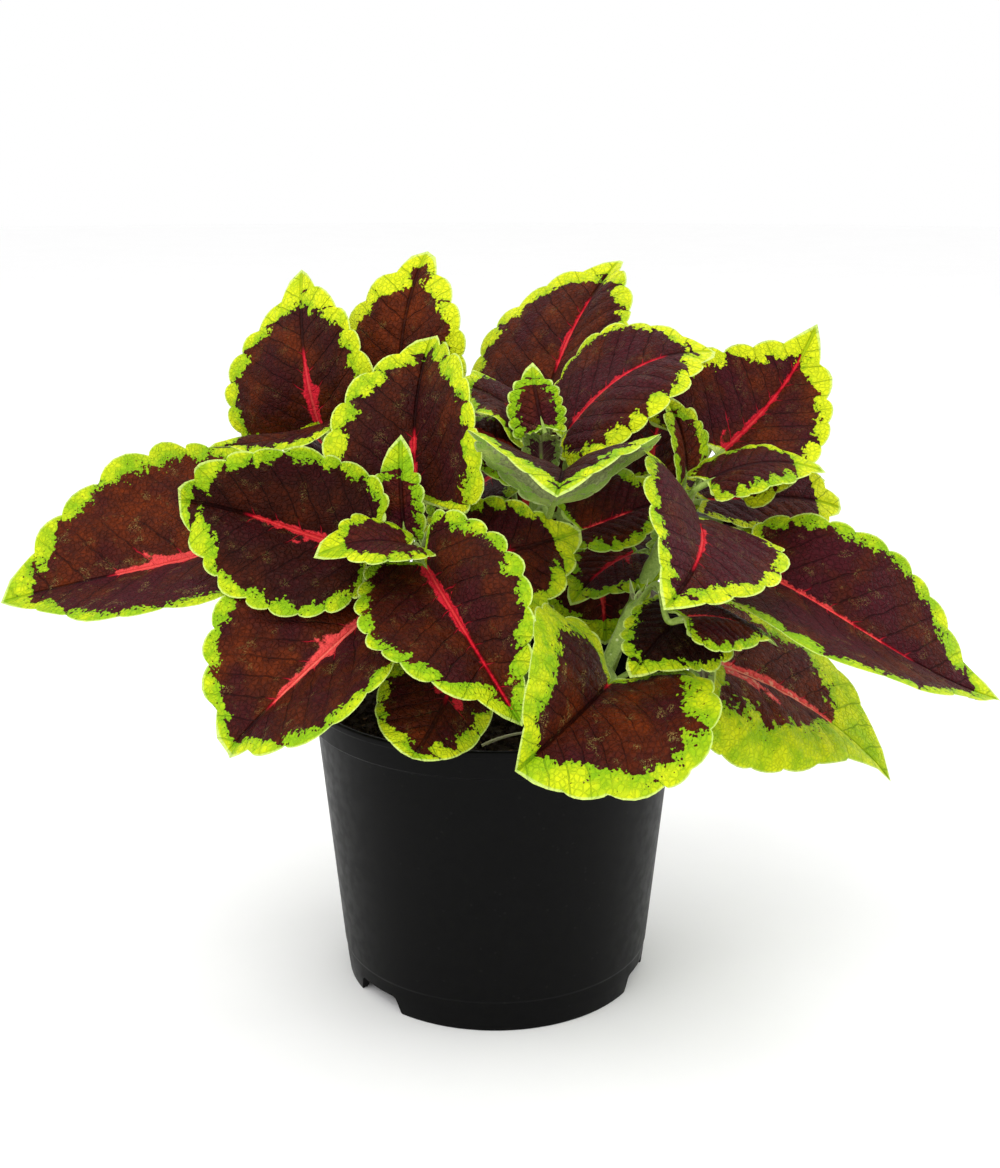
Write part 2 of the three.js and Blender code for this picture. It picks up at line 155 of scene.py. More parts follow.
def turn_about(vectors: Array, axis: Array, angle: Array | float) -> Array:
    """Turns vectors about an axis by Rodrigues' formula: v cos a + (k x v) sin a + k (k.v)(1 - cos a).

    Args:
        vectors: Vectors along the last axis.
        axis: Unit axis, one or one for each vector.
        angle: Angle in radians, one or one for each vector.

    Returns:
        The turned vectors.
    """
    angle = np.asarray(angle, float)[..., None]
    along = np.sum(axis * vectors, axis=-1, keepdims=True)
    cross = np.cross(np.broadcast_to(axis, vectors.shape), vectors)
    return vectors * np.cos(angle) + cross * np.sin(angle) + axis * along * (1 - np.cos(angle))


@dataclass(frozen=True)
class Ripple:
    """A smooth wavy field over a plane: the sum of sines in chance directions, each sin(k.p + phase).

    The spread is the range of the waves' lengths as shares of the wavelength. The peak is the height that
    the sum seldom passes, which becomes 1.
    """

    wavelength: float
    seed: int
    waves: int = 14
    spread: Pair = (0.7, 1.6)
    peak: float = 1.6

    def at(self, x: Array, y: Array) -> Array:
        """The field at some points, mostly from -1 to 1.

        Args:
            x: First coordinates.
            y: Second coordinates.

        Returns:
            The field there.
        """
        chance = np.random.default_rng(self.seed)
        heading = chance.uniform(0, CIRCLE, self.waves)
        pace = CIRCLE / (self.wavelength * chance.uniform(*self.spread, self.waves))
        phase = chance.uniform(0, CIRCLE, self.waves)
        angle = x[..., None] * np.cos(heading) * pace + y[..., None] * np.sin(heading) * pace + phase
        return np.sin(angle).sum(axis=-1) / math.sqrt(self.waves / 2) / self.peak


def bernstein(handles: Array, t: Array) -> Array:
    """The handles blended by Bernstein's polynomials: the sum of C(n, k) t^k (1 - t)^(n - k) handle k."""
    top = len(handles) - 1
    return sum(math.comb(top, k) * t**k * (1 - t) ** (top - k) * handles[k] for k in range(top + 1))


def bezier(handles: Array, share: Array) -> tuple[Array, Array]:
    """A Bezier curve. Its direction is the blend of the steps between its handles."""
    t = np.asarray(share, float)[..., None]
    return bernstein(handles, t), unit(bernstein(np.diff(handles, axis=0), t))


def centripetal(points: Array, samples: int) -> Array:
    """A centripetal Catmull-Rom curve: each span is a cubic, and its end slopes follow its neighbours.

    Args:
        points: Points on the curve, one a row.
        samples: Samples along the whole curve.

    Returns:
        Points evenly spaced by the span number.
    """
    padded = np.vstack([2 * points[0] - points[1], points, 2 * points[-1] - points[-2]])
    place = np.linspace(0, len(points) - 1, samples)
    span = np.minimum(place.astype(int), len(points) - 2)
    p0, p1, p2, p3 = (padded[span + k] for k in range(4))
    steps = (p1 - p0, p2 - p1, p3 - p2)
    d0, d1, d2 = (np.sqrt(np.linalg.norm(step, axis=1))[:, None] for step in steps)
    out = ((p1 - p0) / d0 - (p2 - p0) / (d0 + d1) + (p2 - p1) / d1) * d1
    into = ((p2 - p1) / d1 - (p3 - p1) / (d1 + d2) + (p3 - p2) / d2) * d1
    t = (place - span)[:, None]
    return p1 + out * t + (3 * (p2 - p1) - 2 * out - into) * t**2 + (2 * (p1 - p2) + out + into) * t**3


def travelled(points: Array) -> Array:
    """Length along a line of points up to each point."""
    return np.concatenate([[0], np.cumsum(np.linalg.norm(np.diff(points, axis=0), axis=1))])


# ---- meshes ----


def placed(name: str, data: bpy.types.ID) -> bpy.types.Object:
    """Makes an object of a mesh, a camera or a light, and links it into the scene.

    Args:
        name: The object's name.
        data: What it holds.

    Returns:
        The object, at the origin.
    """
    thing = bpy.data.objects.new(name, data)
    bpy.context.scene.collection.objects.link(thing)
    return thing


def grid_triangles(rows: int, columns: int, ring: bool = False) -> Triangles:
    """Two triangles for each cell of a grid whose points run row by row.

    Args:
        rows: Rows of points.
        columns: Points in a row.
        ring: Whether the last column joins the first.

    Returns:
        Triangles that face along row direction x column direction.
    """
    across = np.arange(columns if ring else columns - 1)
    first = (np.arange(rows - 1)[:, None] * columns + across).ravel()
    beside = (np.arange(rows - 1)[:, None] * columns + (across + 1) % columns).ravel()
    one = np.stack([first, first + columns, beside + columns], axis=1)
    two = np.stack([first, beside + columns, beside], axis=1)
    return np.concatenate([one, two])


@dataclass
class Patch:
    """A piece of surface: points in millimetres, triangles, flat coordinates and carried numbers.

    The coat is the place of its material in the piece's list.
    """

    points: Array
    triangles: Triangles
    flat: Array
    coat: int = 0
    fields: dict[Field, Array] = field(default_factory=dict)

    def turned_over(self) -> Patch:
        """The same patch with its triangles facing the other way."""
        return Patch(self.points, self.triangles[:, ::-1], self.flat, self.coat, self.fields)

    def mesh(self, name: str) -> bpy.types.Mesh:
        """The patch as a bare mesh in metres."""
        mesh = bpy.data.meshes.new(name)
        mesh.from_pydata(self.points * MM, [], self.triangles)
        return mesh


@dataclass
class Piece:
    """A finished piece of the object: patches that become one mesh at the origin.

    An edge is shaded sharp past the sharp angle, in degrees.
    """

    name: str
    slot: Slot
    sharp: float
    patches: list[Patch] = field(default_factory=list)
    weld_digits: int = 4

    def add(self, *patches: Patch) -> None:
        """Adds patches to the piece."""
        self.patches.extend(patches)

    def build(self, materials: list[bpy.types.Material], nodes: tuple[str, ...]) -> bpy.types.Object:
        """Joins the patches, closes their seams and makes the object.

        Points that agree to a ten-thousandth of a millimetre become one, and triangles that lose a corner
        that way are dropped.

        Args:
            materials: Materials, in the order of the patches' coats.
            nodes: CAD nodes that the piece stands for.

        Returns:
            The object, riding on the root body.
        """
        starts = np.cumsum([0] + [len(p.points) for p in self.patches[:-1]])
        points = np.concatenate([p.points for p in self.patches])
        corners = np.concatenate([p.triangles + s for p, s in zip(self.patches, starts)])
        coats = np.concatenate([np.full(len(p.triangles), int(p.coat)) for p in self.patches])
        flat = np.concatenate([p.flat for p in self.patches])
        rough = np.round(points, self.weld_digits)
        _, first, same = np.unique(rough, axis=0, return_index=True, return_inverse=True)
        welded = same.reshape(-1)[corners]
        whole = np.all(welded != np.roll(welded, -1, axis=1), axis=1)
        mesh = bpy.data.meshes.new(self.name)
        mesh.from_pydata(points[first] * MM, [], welded[whole])
        mesh.polygons.foreach_set("material_index", coats[whole].astype(np.int32))
        layer = mesh.uv_layers.new(name="flat")
        layer.data.foreach_set("uv", flat[corners[whole]].astype(np.float32).ravel())
        for carried in {f for p in self.patches for f in p.fields}:
            values = [p.fields.get(carried, np.zeros(len(p.points))) for p in self.patches]
            attribute = mesh.attributes.new(carried.value, "FLOAT", "POINT")
            attribute.data.foreach_set("value", np.concatenate(values)[first].astype(np.float32))
        for material in materials:
            mesh.materials.append(material)
        mesh.update()
        mesh.set_sharp_from_angle(angle=math.radians(self.sharp))
        thing = placed(self.name, mesh)
        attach(thing, "root")
        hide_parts(*nodes)
        LOG.info("%s: %d triangles", self.name, len(mesh.polygons))
        return thing


def swept(path: Array, radius: Array, sides: int, square: float = 2.0, coat: int = 0) -> Patch:
    """A closed tube along a path: at each station a superellipse |x|^p + |y|^p = r^p in the cross plane.

    The sides keep to the plane that stands on the chord of the path, so the tube doesn't twist.

    Args:
        path: Points of the path, one a row.
        radius: Radius at each point.
        sides: Sides of the tube.
        square: Power p of the section: 2 is round, and more is squarer.
        coat: Place of the tube's material.

    Returns:
        The patch, whose flat coordinates are length and girth.
    """
    tangent = unit(np.gradient(path, axis=0))
    level = np.cross(path[-1] - path[0], UP)
    level = unit(level) if np.linalg.norm(level) > SHORT else RIGHT
    across = unit(level - np.sum(tangent * level, axis=1, keepdims=True) * tangent)
    above = np.cross(across, tangent)
    angle = np.linspace(0, CIRCLE, sides, endpoint=False)
    reach = (np.abs(np.cos(angle)) ** square + np.abs(np.sin(angle)) ** square) ** (-1 / square)
    ring_x = (reach * np.cos(angle))[None, :, None] * across[:, None]
    ring_y = (reach * np.sin(angle))[None, :, None] * above[:, None]
    rings = path[:, None] + radius[:, None, None] * (ring_x + ring_y)
    points = np.vstack([path[:1], rings.reshape(-1, 3), path[-1:]])
    skin = grid_triangles(len(path), sides, ring=True) + 1
    last = 1 + (len(path) - 1) * sides
    here = np.arange(sides)
    cap = np.stack([np.zeros(sides, int), here + 1, (here + 1) % sides + 1], axis=1)
    lid = np.stack([np.full(sides, len(points) - 1), last + (here + 1) % sides, last + here], axis=1)
    along = np.repeat(travelled(path), sides)
    girth = np.tile(angle, len(path)) * np.repeat(radius, sides)
    flat = np.vstack([[0, 0], np.stack([along, girth], axis=1), [along[-1], 0]]) / FLAT_UNIT
    return Patch(points, np.concatenate([skin, cap, lid]), flat, coat)


# ---- leaves ----


@dataclass(frozen=True)
class Stroke:
    """A red streak on the upper face: a line in flat coordinates, and its half width at both ends.

    A flat coordinate is a share of the blade's length and millimetres to the left of the midrib.
    """

    start: Pair
    end: Pair
    half: Pair


def chains(*runs: list[Point]) -> tuple[Stroke, ...]:
    """Strokes from knot to knot of each run. A knot is a flat point and the half width there."""
    joints = [(one, two) for run in runs for one, two in zip(run, run[1:])]
    return tuple(Stroke(one[:2], two[:2], (one[2], two[2])) for one, two in joints)


@dataclass(frozen=True)
class Marks:
    """How one blade is scalloped and coloured. Pairs are for the left and the right half.

    Depth is a share of a scallop's width, growth the power by which scallops widen to the tip, and
    tip_share the end lobe's share of the margin. Bands are widths of the lime border, and ruffle and quilt
    heights, in millimetres. Veins are counted along a half. The rest are strengths from 0 to 1. Purple is
    partly the blade's own tone and partly a painted sheen, red-brown (rust) partly its own tone and partly
    painted light shining through the leaf, and shade is painted shade that darkens the whole dark blade.
    """

    lobes: int = 9
    band: Pair = (4.6, 4.6)
    tip_band: float = 8.0
    depth: float = 0.21
    growth: float = 1.15
    tip_share: float = 0.13
    ruffle: float = 0.9
    quilt: float = 0.75
    veins: float = 8.5
    # purple: partly the blade's own tone, partly a painted sheen, set for each half
    purple: Pair = (0.35, 0.35)
    # red-brown (rust): partly the blade's own tone, partly painted light shining through the leaf, set for
    # each half
    rust: Pair = (0.25, 0.25)
    yellow: float = 0.3
    coral: float = 0.2
    speckle: float = 0.25
    # painted shade: below 1 it darkens the whole dark blade
    shade: float = 1.0
    strokes: tuple[Stroke, ...] = ()


@dataclass(frozen=True)
class Leaf:
    """A leaf: where its stalk leaves the stem, where the blade begins and ends, and how it grows.

    Angles are in degrees. Roll turns the blade about its midrib, lift and curl slope its halves, and twist
    turns its tip further. Arch, sway, rise and lobe are shares of a length. Taper is a power of the
    outline at each end.
    """

    name: str
    at: float
    base: Point
    tip: Point
    half: Pair
    roll: float = 0
    lift: Pair = (10, 10)
    curl: Pair = (-25, -25)
    rise: float = 0.12
    twist: float = 0
    arch: Pair = (0.15, 0.15)
    sway: float = 0
    lobe: float = 0.2
    taper: Pair = (0.55, 1)
    tiny_half: float = 16

    @property
    def is_tiny(self) -> bool:
        """Whether both halves are narrow."""
        return max(self.half) < self.tiny_half

    @property
    def is_young(self) -> bool:
        """Whether this is one of the small leaves at a growing tip."""
        return self.is_tiny or "young" in self.name

    @property
    def length(self) -> float:
        """Straight length of the midrib in millimetres."""
        return float(np.linalg.norm(np.subtract(self.tip, self.base)))


@dataclass(frozen=True)
class Outline:
    """One half of a blade laid flat: its smooth margin, and the scallops along it.

    Stations are the places in a scallop that get a point, and the end lobe has the first few of them.
    Shift is how far a notch strays, unevenness the range of the scallops' depths, widest the width that
    still adds depth, and early the phases over which they grow. Level is the part of a scallop's height
    inside the smooth margin, lean its slant to the tip, and tip_point how far the tip is drawn out.
    """

    leaf: Leaf
    marks: Marks
    side: Side
    seed: int
    stations: tuple[float, ...] = (0.0, 0.06, 0.16, 0.3, 0.5, 0.7, 0.84, 0.94)
    end_stations: int = 5
    samples: int = 700
    lobe_power: int = 7
    shift: float = 0.24
    unevenness: Pair = (0.55, 1.25)
    widest: float = 1.35
    early: Pair = (0.2, 1.4)
    roundness: float = 0.75
    level: float = 0.55
    lean: float = 0.3
    tip_point: float = 3

    def smooth(self, t: Array) -> Array:
        """The margin without its scallops: half width t^a (1-t)^b, pushed back beside the stalk.

        Args:
            t: Shares along the midrib.

        Returns:
            Flat points in millimetres, one a row.
        """
        to_base, to_tip = self.leaf.taper
        widest = to_base / (to_base + to_tip)
        full = t**to_base * (1 - t) ** to_tip / (widest**to_base * (1 - widest) ** to_tip)
        deepest = 1 / (self.lobe_power + 1)
        back = t * (1 - t) ** self.lobe_power / (deepest * (1 - deepest) ** self.lobe_power)
        along = (t - self.leaf.lobe * back) * self.leaf.length
        return np.stack([along, self.leaf.half[self.side.index] * full], axis=-1)

    @property
    def phases(self) -> Array:
        """The stations along the margin, counted in scallops. A notch lies at each whole number."""
        whole = np.add.outer(np.arange(self.marks.lobes), self.stations).ravel()
        return np.concatenate([whole, self.marks.lobes + np.array(self.stations[: self.end_stations])])

    def reach(self) -> Array:
        """How far along the margin each station lies: growing scallops, then the end lobe.

        Returns:
            Shares of the margin's length.
        """
        marks, phase = self.marks, self.phases
        chance = np.random.default_rng(self.seed + self.side.index)
        stray = chance.uniform(-self.shift, self.shift, marks.lobes - 1)
        moved = phase + np.interp(phase, np.arange(marks.lobes + 2), np.concatenate([[0], stray, [0, 0]]))
        grown = np.clip(moved / marks.lobes, 0, 1) ** marks.growth
        lobes = (1 - marks.tip_share) * grown
        end = 1 - marks.tip_share + marks.tip_share * (phase - marks.lobes) * 2
        return np.where(phase <= marks.lobes, lobes, end)

    def push(self, walked: Array, length: float, along: Array, outward: Array) -> Array:
        """The scallops: a push outwards by the power of |sin| of the phase, with a slant to the tip.

        Args:
            walked: Length of the margin up to each station.
            length: Length of the whole margin.
            along: Unit direction of the margin at each station.
            outward: Its outward normal.

        Returns:
            The push at each station, in millimetres.
        """
        lobes, phase = self.marks.lobes, self.phases
        chance = np.random.default_rng(self.seed + 7 + self.side.index)
        each = chance.uniform(*self.unevenness, lobes + 2)[np.floor(phase).astype(int)]
        wide = np.minimum(np.gradient(walked, phase), length / lobes * self.widest)
        deep = self.marks.depth * wide * each * smoothstep(*self.early, phase)
        rounded_top = np.abs(np.sin(math.pi * phase)) ** self.roundness
        slant = self.lean * deep * np.sin(math.pi * (phase - np.floor(phase))) * (phase < lobes)
        push = outward * (deep * (rounded_top - self.level))[:, None] + along * slant[:, None]
        push[-1] = (self.marks.depth * self.tip_point, 0)
        return push

    def margin(self) -> tuple[Array, Array, Array, Array]:
        """The margin at each station.

        Returns:
            Midrib shares, smooth flat points, the push outwards that makes the scallops, and the outward
            normal of the smooth margin.
        """
        fine = (1 - np.cos(np.linspace(0, math.pi, self.samples))) / 2
        line = self.smooth(fine)
        walked = travelled(line)
        goal = self.reach() * walked[-1]
        t = np.interp(goal, walked, fine)
        t[0], t[-1] = 0, 1
        apart = walked + np.arange(self.samples) * 1e-9  # keeps the first steps from being equal
        heading = unit(np.gradient(line, apart, axis=0))
        along = unit(np.stack([np.interp(goal, walked, heading[:, k]) for k in range(2)], axis=1))
        outward = np.stack([-along[:, 1], along[:, 0]], axis=1)
        return t, self.smooth(t), self.push(goal, walked[-1], along, outward), outward


@dataclass(frozen=True)
class Half:
    """The grid of one half of a blade, laid flat: a row for each station, a column for each share out."""

    side: Side
    phase: Array
    share: Array
    flat: Array
    edge: Array

    @property
    def rib(self) -> Array:
        """Millimetres from the midrib."""
        return np.abs(self.flat[..., 1])

    @property
    def bay(self) -> Array:
        """0 on the line of a notch, 1 in the middle of a scallop."""
        return np.abs(np.sin(math.pi * self.phase))[:, None]

    @property
    def spread(self) -> Array:
        """Flat points with the right half at negative y."""
        return np.stack([self.flat[..., 0], self.side.value * self.flat[..., 1]], axis=-1)

    def waved(self, ripple: Ripple) -> Array:
        """A ripple over the half."""
        return ripple.at(self.spread[..., 0], self.spread[..., 1])


@dataclass(frozen=True)
class Relief:
    """How a blade's sheet swells and sinks between its midrib and its margin, in millimetres.

    The ruffle is two sines of the phase, each with a pace and a height. It and the dip at a notch die away
    inwards by the frill powers. Cushions are a power of |sin| less their level. Groove and ridge are a
    depth and a half width.
    """

    paces: Pair = (2.4, 1.1)
    heights: Pair = (0.6, 0.4)
    notch_dip: float = 0.5
    frill_powers: tuple[int, int] = (4, 9)
    cushion_power: float = 0.7
    cushion_level: float = 0.6
    calm_at_rib: Pair = (0.5, 5)
    calm_at_edge: Pair = (0, 5)
    swell: float = 0.8
    swell_length: float = 34
    swell_at_rib: Pair = (1, 9)
    groove: Pair = (0.45, 0.9)
    ridge: Pair = (1.1, 1.3)
    ridge_fall: float = 0.7

    def body(self, half: Half, vein: Array, marks: Marks, seed: int, starts: Array) -> Array:
        """Height of the middle of the sheet: ruffles, cushions between side veins, and slow waves.

        Args:
            half: The half's grid.
            vein: Side veins passed, counted from the base.
            marks: The blade's marks.
            seed: The leaf's own number.
            starts: Phases at which the two ruffle waves start.

        Returns:
            Heights in millimetres.
        """
        waves = [h * np.sin(p * half.phase + s) for h, p, s in zip(self.heights, self.paces, starts)]
        outer, inner = (half.share**power for power in self.frill_powers)
        frill = marks.ruffle * (sum(waves)[:, None] * outer - self.notch_dip * (1 - half.bay) * inner)
        calm = smoothstep(*self.calm_at_rib, half.rib) * smoothstep(*self.calm_at_edge, half.edge)
        mound = np.abs(np.sin(math.pi * vein)) ** self.cushion_power - self.cushion_level
        cushion = marks.quilt * mound * calm
        wave = half.waved(Ripple(self.swell_length, seed))
        swell = self.swell * wave * smoothstep(*self.swell_at_rib, half.rib)
        return frill + cushion + swell

    def midrib(self, half: Half, length: float) -> tuple[Array, Array]:
        """The groove above the midrib and the ridge beneath it: bells e^-(r/w)^2, the ridge thinning out.

        Args:
            half: The half's grid.
            length: Length of the blade.

        Returns:
            Depth of the groove and height of the ridge.
        """
        groove = self.groove[0] * np.exp(-((half.rib / self.groove[1]) ** 2))
        ridge = np.exp(-((half.rib / self.ridge[1]) ** 2))
        return groove, ridge * (self.ridge[0] - self.ridge_fall * half.flat[..., 0] / length)


@dataclass(frozen=True)
class Blade:
    """The thin curved sheet of a leaf, as a map from its flat outline to space.

    Crowding is the power that draws grid columns to the margin, and fade the one by which scallops die
    away inwards. Closing is the width over which both skins meet at the base and the tip. Vein slant
    bends the side veins to the tip.
    """

    leaf: Leaf
    marks: Marks
    columns: int = 21
    thickness: float = 0.44
    relief: Relief = Relief()
    crowding: float = 1.45
    first_column: float = 0.4
    fade: int = 5
    thinning: int = 6
    closing: float = 4
    vein_slant: Pair = (0.62, 0.004)
    least_curl: float = 0.01
    near_midrib: float = 2.5
    base_share: Pair = (0.02, 0.16)
    base_band: float = 0.45
    tip_share: float = 0.74
    band_length: float = 26
    band_sway: float = 0.22
    no_red: float = -9.0

    @property
    def seed(self) -> int:
        """A number of this leaf's own for its chance details."""
        return zlib.crc32(self.leaf.name.encode()) % 100000

    def handles(self) -> tuple[Array, Array]:
        """The midrib's Bezier curve, bowed up by the arch and aside by the sway.

        Returns:
            Its four handles, and the blade's up direction at its base.
        """
        leaf = self.leaf
        base, tip = np.array(leaf.base, float), np.array(leaf.tip, float)
        along = unit(tip - base)
        up = turn_about(unit(UP - along[2] * along), along, math.radians(leaf.roll))
        bow = leaf.sway * leaf.length * np.cross(up, along)
        first = base + along * leaf.length / 3 + up * leaf.arch[0] * leaf.length + bow
        second = base + along * leaf.length * 2 / 3 + up * leaf.arch[1] * leaf.length + bow
        return np.array([base, first, second, tip]), up

    def place(self, flat: Array, side: Side, above: Array) -> Array:
        """Carries flat points onto the blade.

        The midrib is the Bezier curve, drawn out straight past both ends. Across it each half is an arc:
        its slope starts at the lift and changes evenly by the curl out to the half width.

        Args:
            flat: Millimetres along and out from the midrib.
            side: Which half.
            above: Height over the middle of the sheet.

        Returns:
            Points in space.
        """
        leaf = self.leaf
        handles, up = self.handles()
        share, out = flat[..., 0] / leaf.length, flat[..., 1]
        held = np.clip(share, 0, 1)
        middle, heading = bezier(handles, held)
        middle = middle + heading * ((share - held) * leaf.length)[..., None]
        across = unit(np.cross(up, heading))
        across = turn_about(across, heading, math.radians(leaf.twist) * held)
        upward = np.cross(heading, across)
        lift = math.radians(leaf.lift[side.index])
        bend = math.radians(leaf.curl[side.index] or self.least_curl) / leaf.half[side.index]
        slope = lift + bend * out
        tilt = slope * smoothstep(0, self.near_midrib, out)
        run = (np.sin(slope) - math.sin(lift)) / bend - above * np.sin(tilt)
        rise = (math.cos(lift) - np.cos(slope)) / bend + above * np.cos(tilt)
        return middle + across * (side.value * run)[..., None] + upward * rise[..., None]

    def halves(self) -> list[Patch]:
        """The upper and under skins of both halves, which meet at the margin and the midrib.

        A grid line runs from the midrib to a station of the margin, where the scallops push it outwards.

        Returns:
            Four patches, all facing out of the blade.
        """
        outlines = {side: Outline(self.leaf, self.marks, side, self.seed) for side in Side}
        margins = {side: outline.margin() for side, outline in outlines.items()}
        middle = sum(margin[0] for margin in margins.values()) / 2 * self.leaf.length
        spine = np.stack([middle, np.zeros_like(middle)], axis=1)[:, None]
        reach = [np.linalg.norm(margin[1] - spine[:, 0], axis=1) for margin in margins.values()]
        room = smoothstep(0, self.closing, np.minimum(*reach))[:, None]
        chance = np.random.default_rng(self.seed + 3)
        v = 1 - (1 - np.linspace(0, 1, self.columns)) ** self.crowding
        v = np.insert(v, 1, v[1] * self.first_column)[None, :, None]
        patches = []
        for side, outline in outlines.items():
            _, smooth, push, outward = margins[side]
            flat = spine * (1 - v) + smooth[:, None] * v + push[:, None] * v**self.fade
            away = np.maximum(np.sum((smooth - spine[:, 0]) * outward, axis=1), 0)[:, None]
            half = Half(side, outline.phases, v[..., 0], flat, away * (1 - v[..., 0]))
            patches.extend(self.skins(half, room, chance.uniform(0, 6.3, 2)))
        return patches

    def skins(self, half: Half, room: Array, starts: Array) -> list[Patch]:
        """The upper and the under skin of one half.

        Args:
            half: The half's grid.
            room: 1 where the sheet has its full thickness, 0 where both skins meet.
            starts: Phases at which the two ruffle waves start.

        Returns:
            Two patches.
        """
        slant, bend = self.vein_slant
        drawn_back = half.flat[..., 0] - slant * half.rib - bend * half.rib**2
        vein = self.marks.veins * drawn_back / self.leaf.length
        body = self.relief.body(half, vein, self.marks, self.seed, starts) * room
        inside = room * (1 - half.share**self.thinning)
        groove, ridge = (height * inside for height in self.relief.midrib(half, self.leaf.length))
        sheet = self.thickness / 2 * inside
        fields = self.fields(half, vein)
        corner = np.array([self.seed % 89, self.seed % 97]) * 0.31  # each leaf reads its own part of a noise
        spread = half.spread.reshape(-1, 2) / FLAT_UNIT + corner
        triangles = grid_triangles(len(half.phase), half.share.shape[1])
        patches = []
        for skin in Skin:
            above = body + (sheet - groove if skin is Skin.UPPER else -sheet - ridge)
            points = self.place(half.flat, half.side, above).reshape(-1, 3)
            patch = Patch(points, triangles, spread, LeafCoat[skin.name], fields)
            patches.append(patch if half.side.value * skin.value > 0 else patch.turned_over())
        return patches

    def fields(self, half: Half, vein: Array) -> dict[Field, Array]:
        """The numbers that the leaf materials read.

        The border's band narrows by the base and goes over to the tip's band. Red is the depth inside the
        nearest stroke: its half width less the distance to its line.

        Args:
            half: The half's grid.
            vein: Side veins passed, counted from the base.

        Returns:
            A flat array for each field.
        """
        marks, k = self.marks, half.side.index
        share = (half.phase / half.phase[-1])[:, None] * np.ones_like(half.edge)
        near = self.base_band + (1 - self.base_band) * smoothstep(*self.base_share, share)
        toward_tip = smoothstep(self.tip_share, 1, share) * (marks.tip_band - marks.band[k])
        uneven = 1 + self.band_sway * half.waved(Ripple(self.band_length, self.seed + 5))
        red = np.full_like(half.edge, self.no_red)
        for stroke in marks.strokes:
            start = np.array([stroke.start[0] * self.leaf.length, stroke.start[1]])
            step = np.array([stroke.end[0] * self.leaf.length, stroke.end[1]]) - start
            t = np.clip(((half.spread - start) @ step) / (step @ step), 0, 1)
            wide = stroke.half[0] + (stroke.half[1] - stroke.half[0]) * t
            gone = np.linalg.norm(half.spread - start - t[..., None] * step, axis=-1)
            red = np.maximum(red, wide - gone)
        values = {
            Field.EDGE: half.edge,
            Field.BAY: half.bay,
            Field.BAND: (marks.band[k] * near + toward_tip) * uneven,
            Field.RED: red,
            Field.VEIN: vein,
            Field.RIB: half.rib,
            # purple: partly the blade's own tone, partly a painted sheen
            Field.PURPLE_AND_SHEEN: marks.purple[k],
            # red-brown: partly the blade's own tone, partly painted light shining through the leaf
            Field.RED_BROWN_AND_BACKLIGHT: marks.rust[k],
        }
        # the shade number among these is painted shade
        for plain in (Field.YELLOW, Field.CORAL, Field.SPECKLE, Field.PAINTED_SHADE):
            values[plain] = getattr(marks, plain.value)
        return {name: np.broadcast_to(value, half.edge.shape).ravel() for name, value in values.items()}


@dataclass(frozen=True)
class Stalk:
    """The stalk of a leaf, from the side of its stem to its seat beneath the midrib.

    Lead and seat are how far it runs along the midrib's line before and after the blade's base. Heel and
    knee are its swellings at the stem and at the blade, each a share and a length.
    """

    blade: Blade
    stem: Array
    radius: float = 1.1
    tiny_radius: float = 0.8
    lead: float = 4
    seat: float = 8
    sink: float = 0.8
    samples: int = 41
    sides: int = 10
    buried: float = 0.85
    heel: Pair = (0.45, 2.5)
    knee: Pair = (0.15, 30)
    thinning: float = 0.7

    def patch(self) -> Patch:
        """A tube along a curve through five points, from the stem's skin to the end of the seat.

        Its radius takes on a bell e^-(d/l) at the stem and a bell e^-(d^2/l) at the blade's base.

        Returns:
            The closed tube.
        """
        leaf = self.blade.leaf
        handles, up = self.blade.handles()
        radius = self.tiny_radius if leaf.is_tiny else self.radius
        root, _ = bezier(self.stem, np.array(leaf.at))
        near, heading = bezier(handles, np.array([0, self.seat / leaf.length]))
        neck, seat = near - up * radius * self.sink
        span = float(np.linalg.norm(neck - root))
        bend = (root + neck) / 2 + UP * span * leaf.rise
        lead = neck - heading[0] * min(self.lead, span / 4)
        path = centripetal(np.array([root, bend, lead, neck, seat]), self.samples)
        path = path[travelled(path) > Stem.radius * self.buried]
        gone = travelled(path)
        heel = self.heel[0] * np.exp(-gone / self.heel[1])
        knee = self.knee[0] * np.exp(-((gone - gone[-1] + self.seat) ** 2) / self.knee[1])
        fade = 1 - self.thinning * smoothstep(gone[-1] - self.seat, gone[-1], gone)
        return swept(path, radius * (1 + heel + knee) * fade, self.sides, coat=LeafCoat.STALK)


BUD_MARKS = Marks(
    lobes=3, depth=0.05, tip_share=0.3, band=(0.9, 0.9), tip_band=1.6, ruffle=0, quilt=0.05, veins=3,
    yellow=0.5,
)

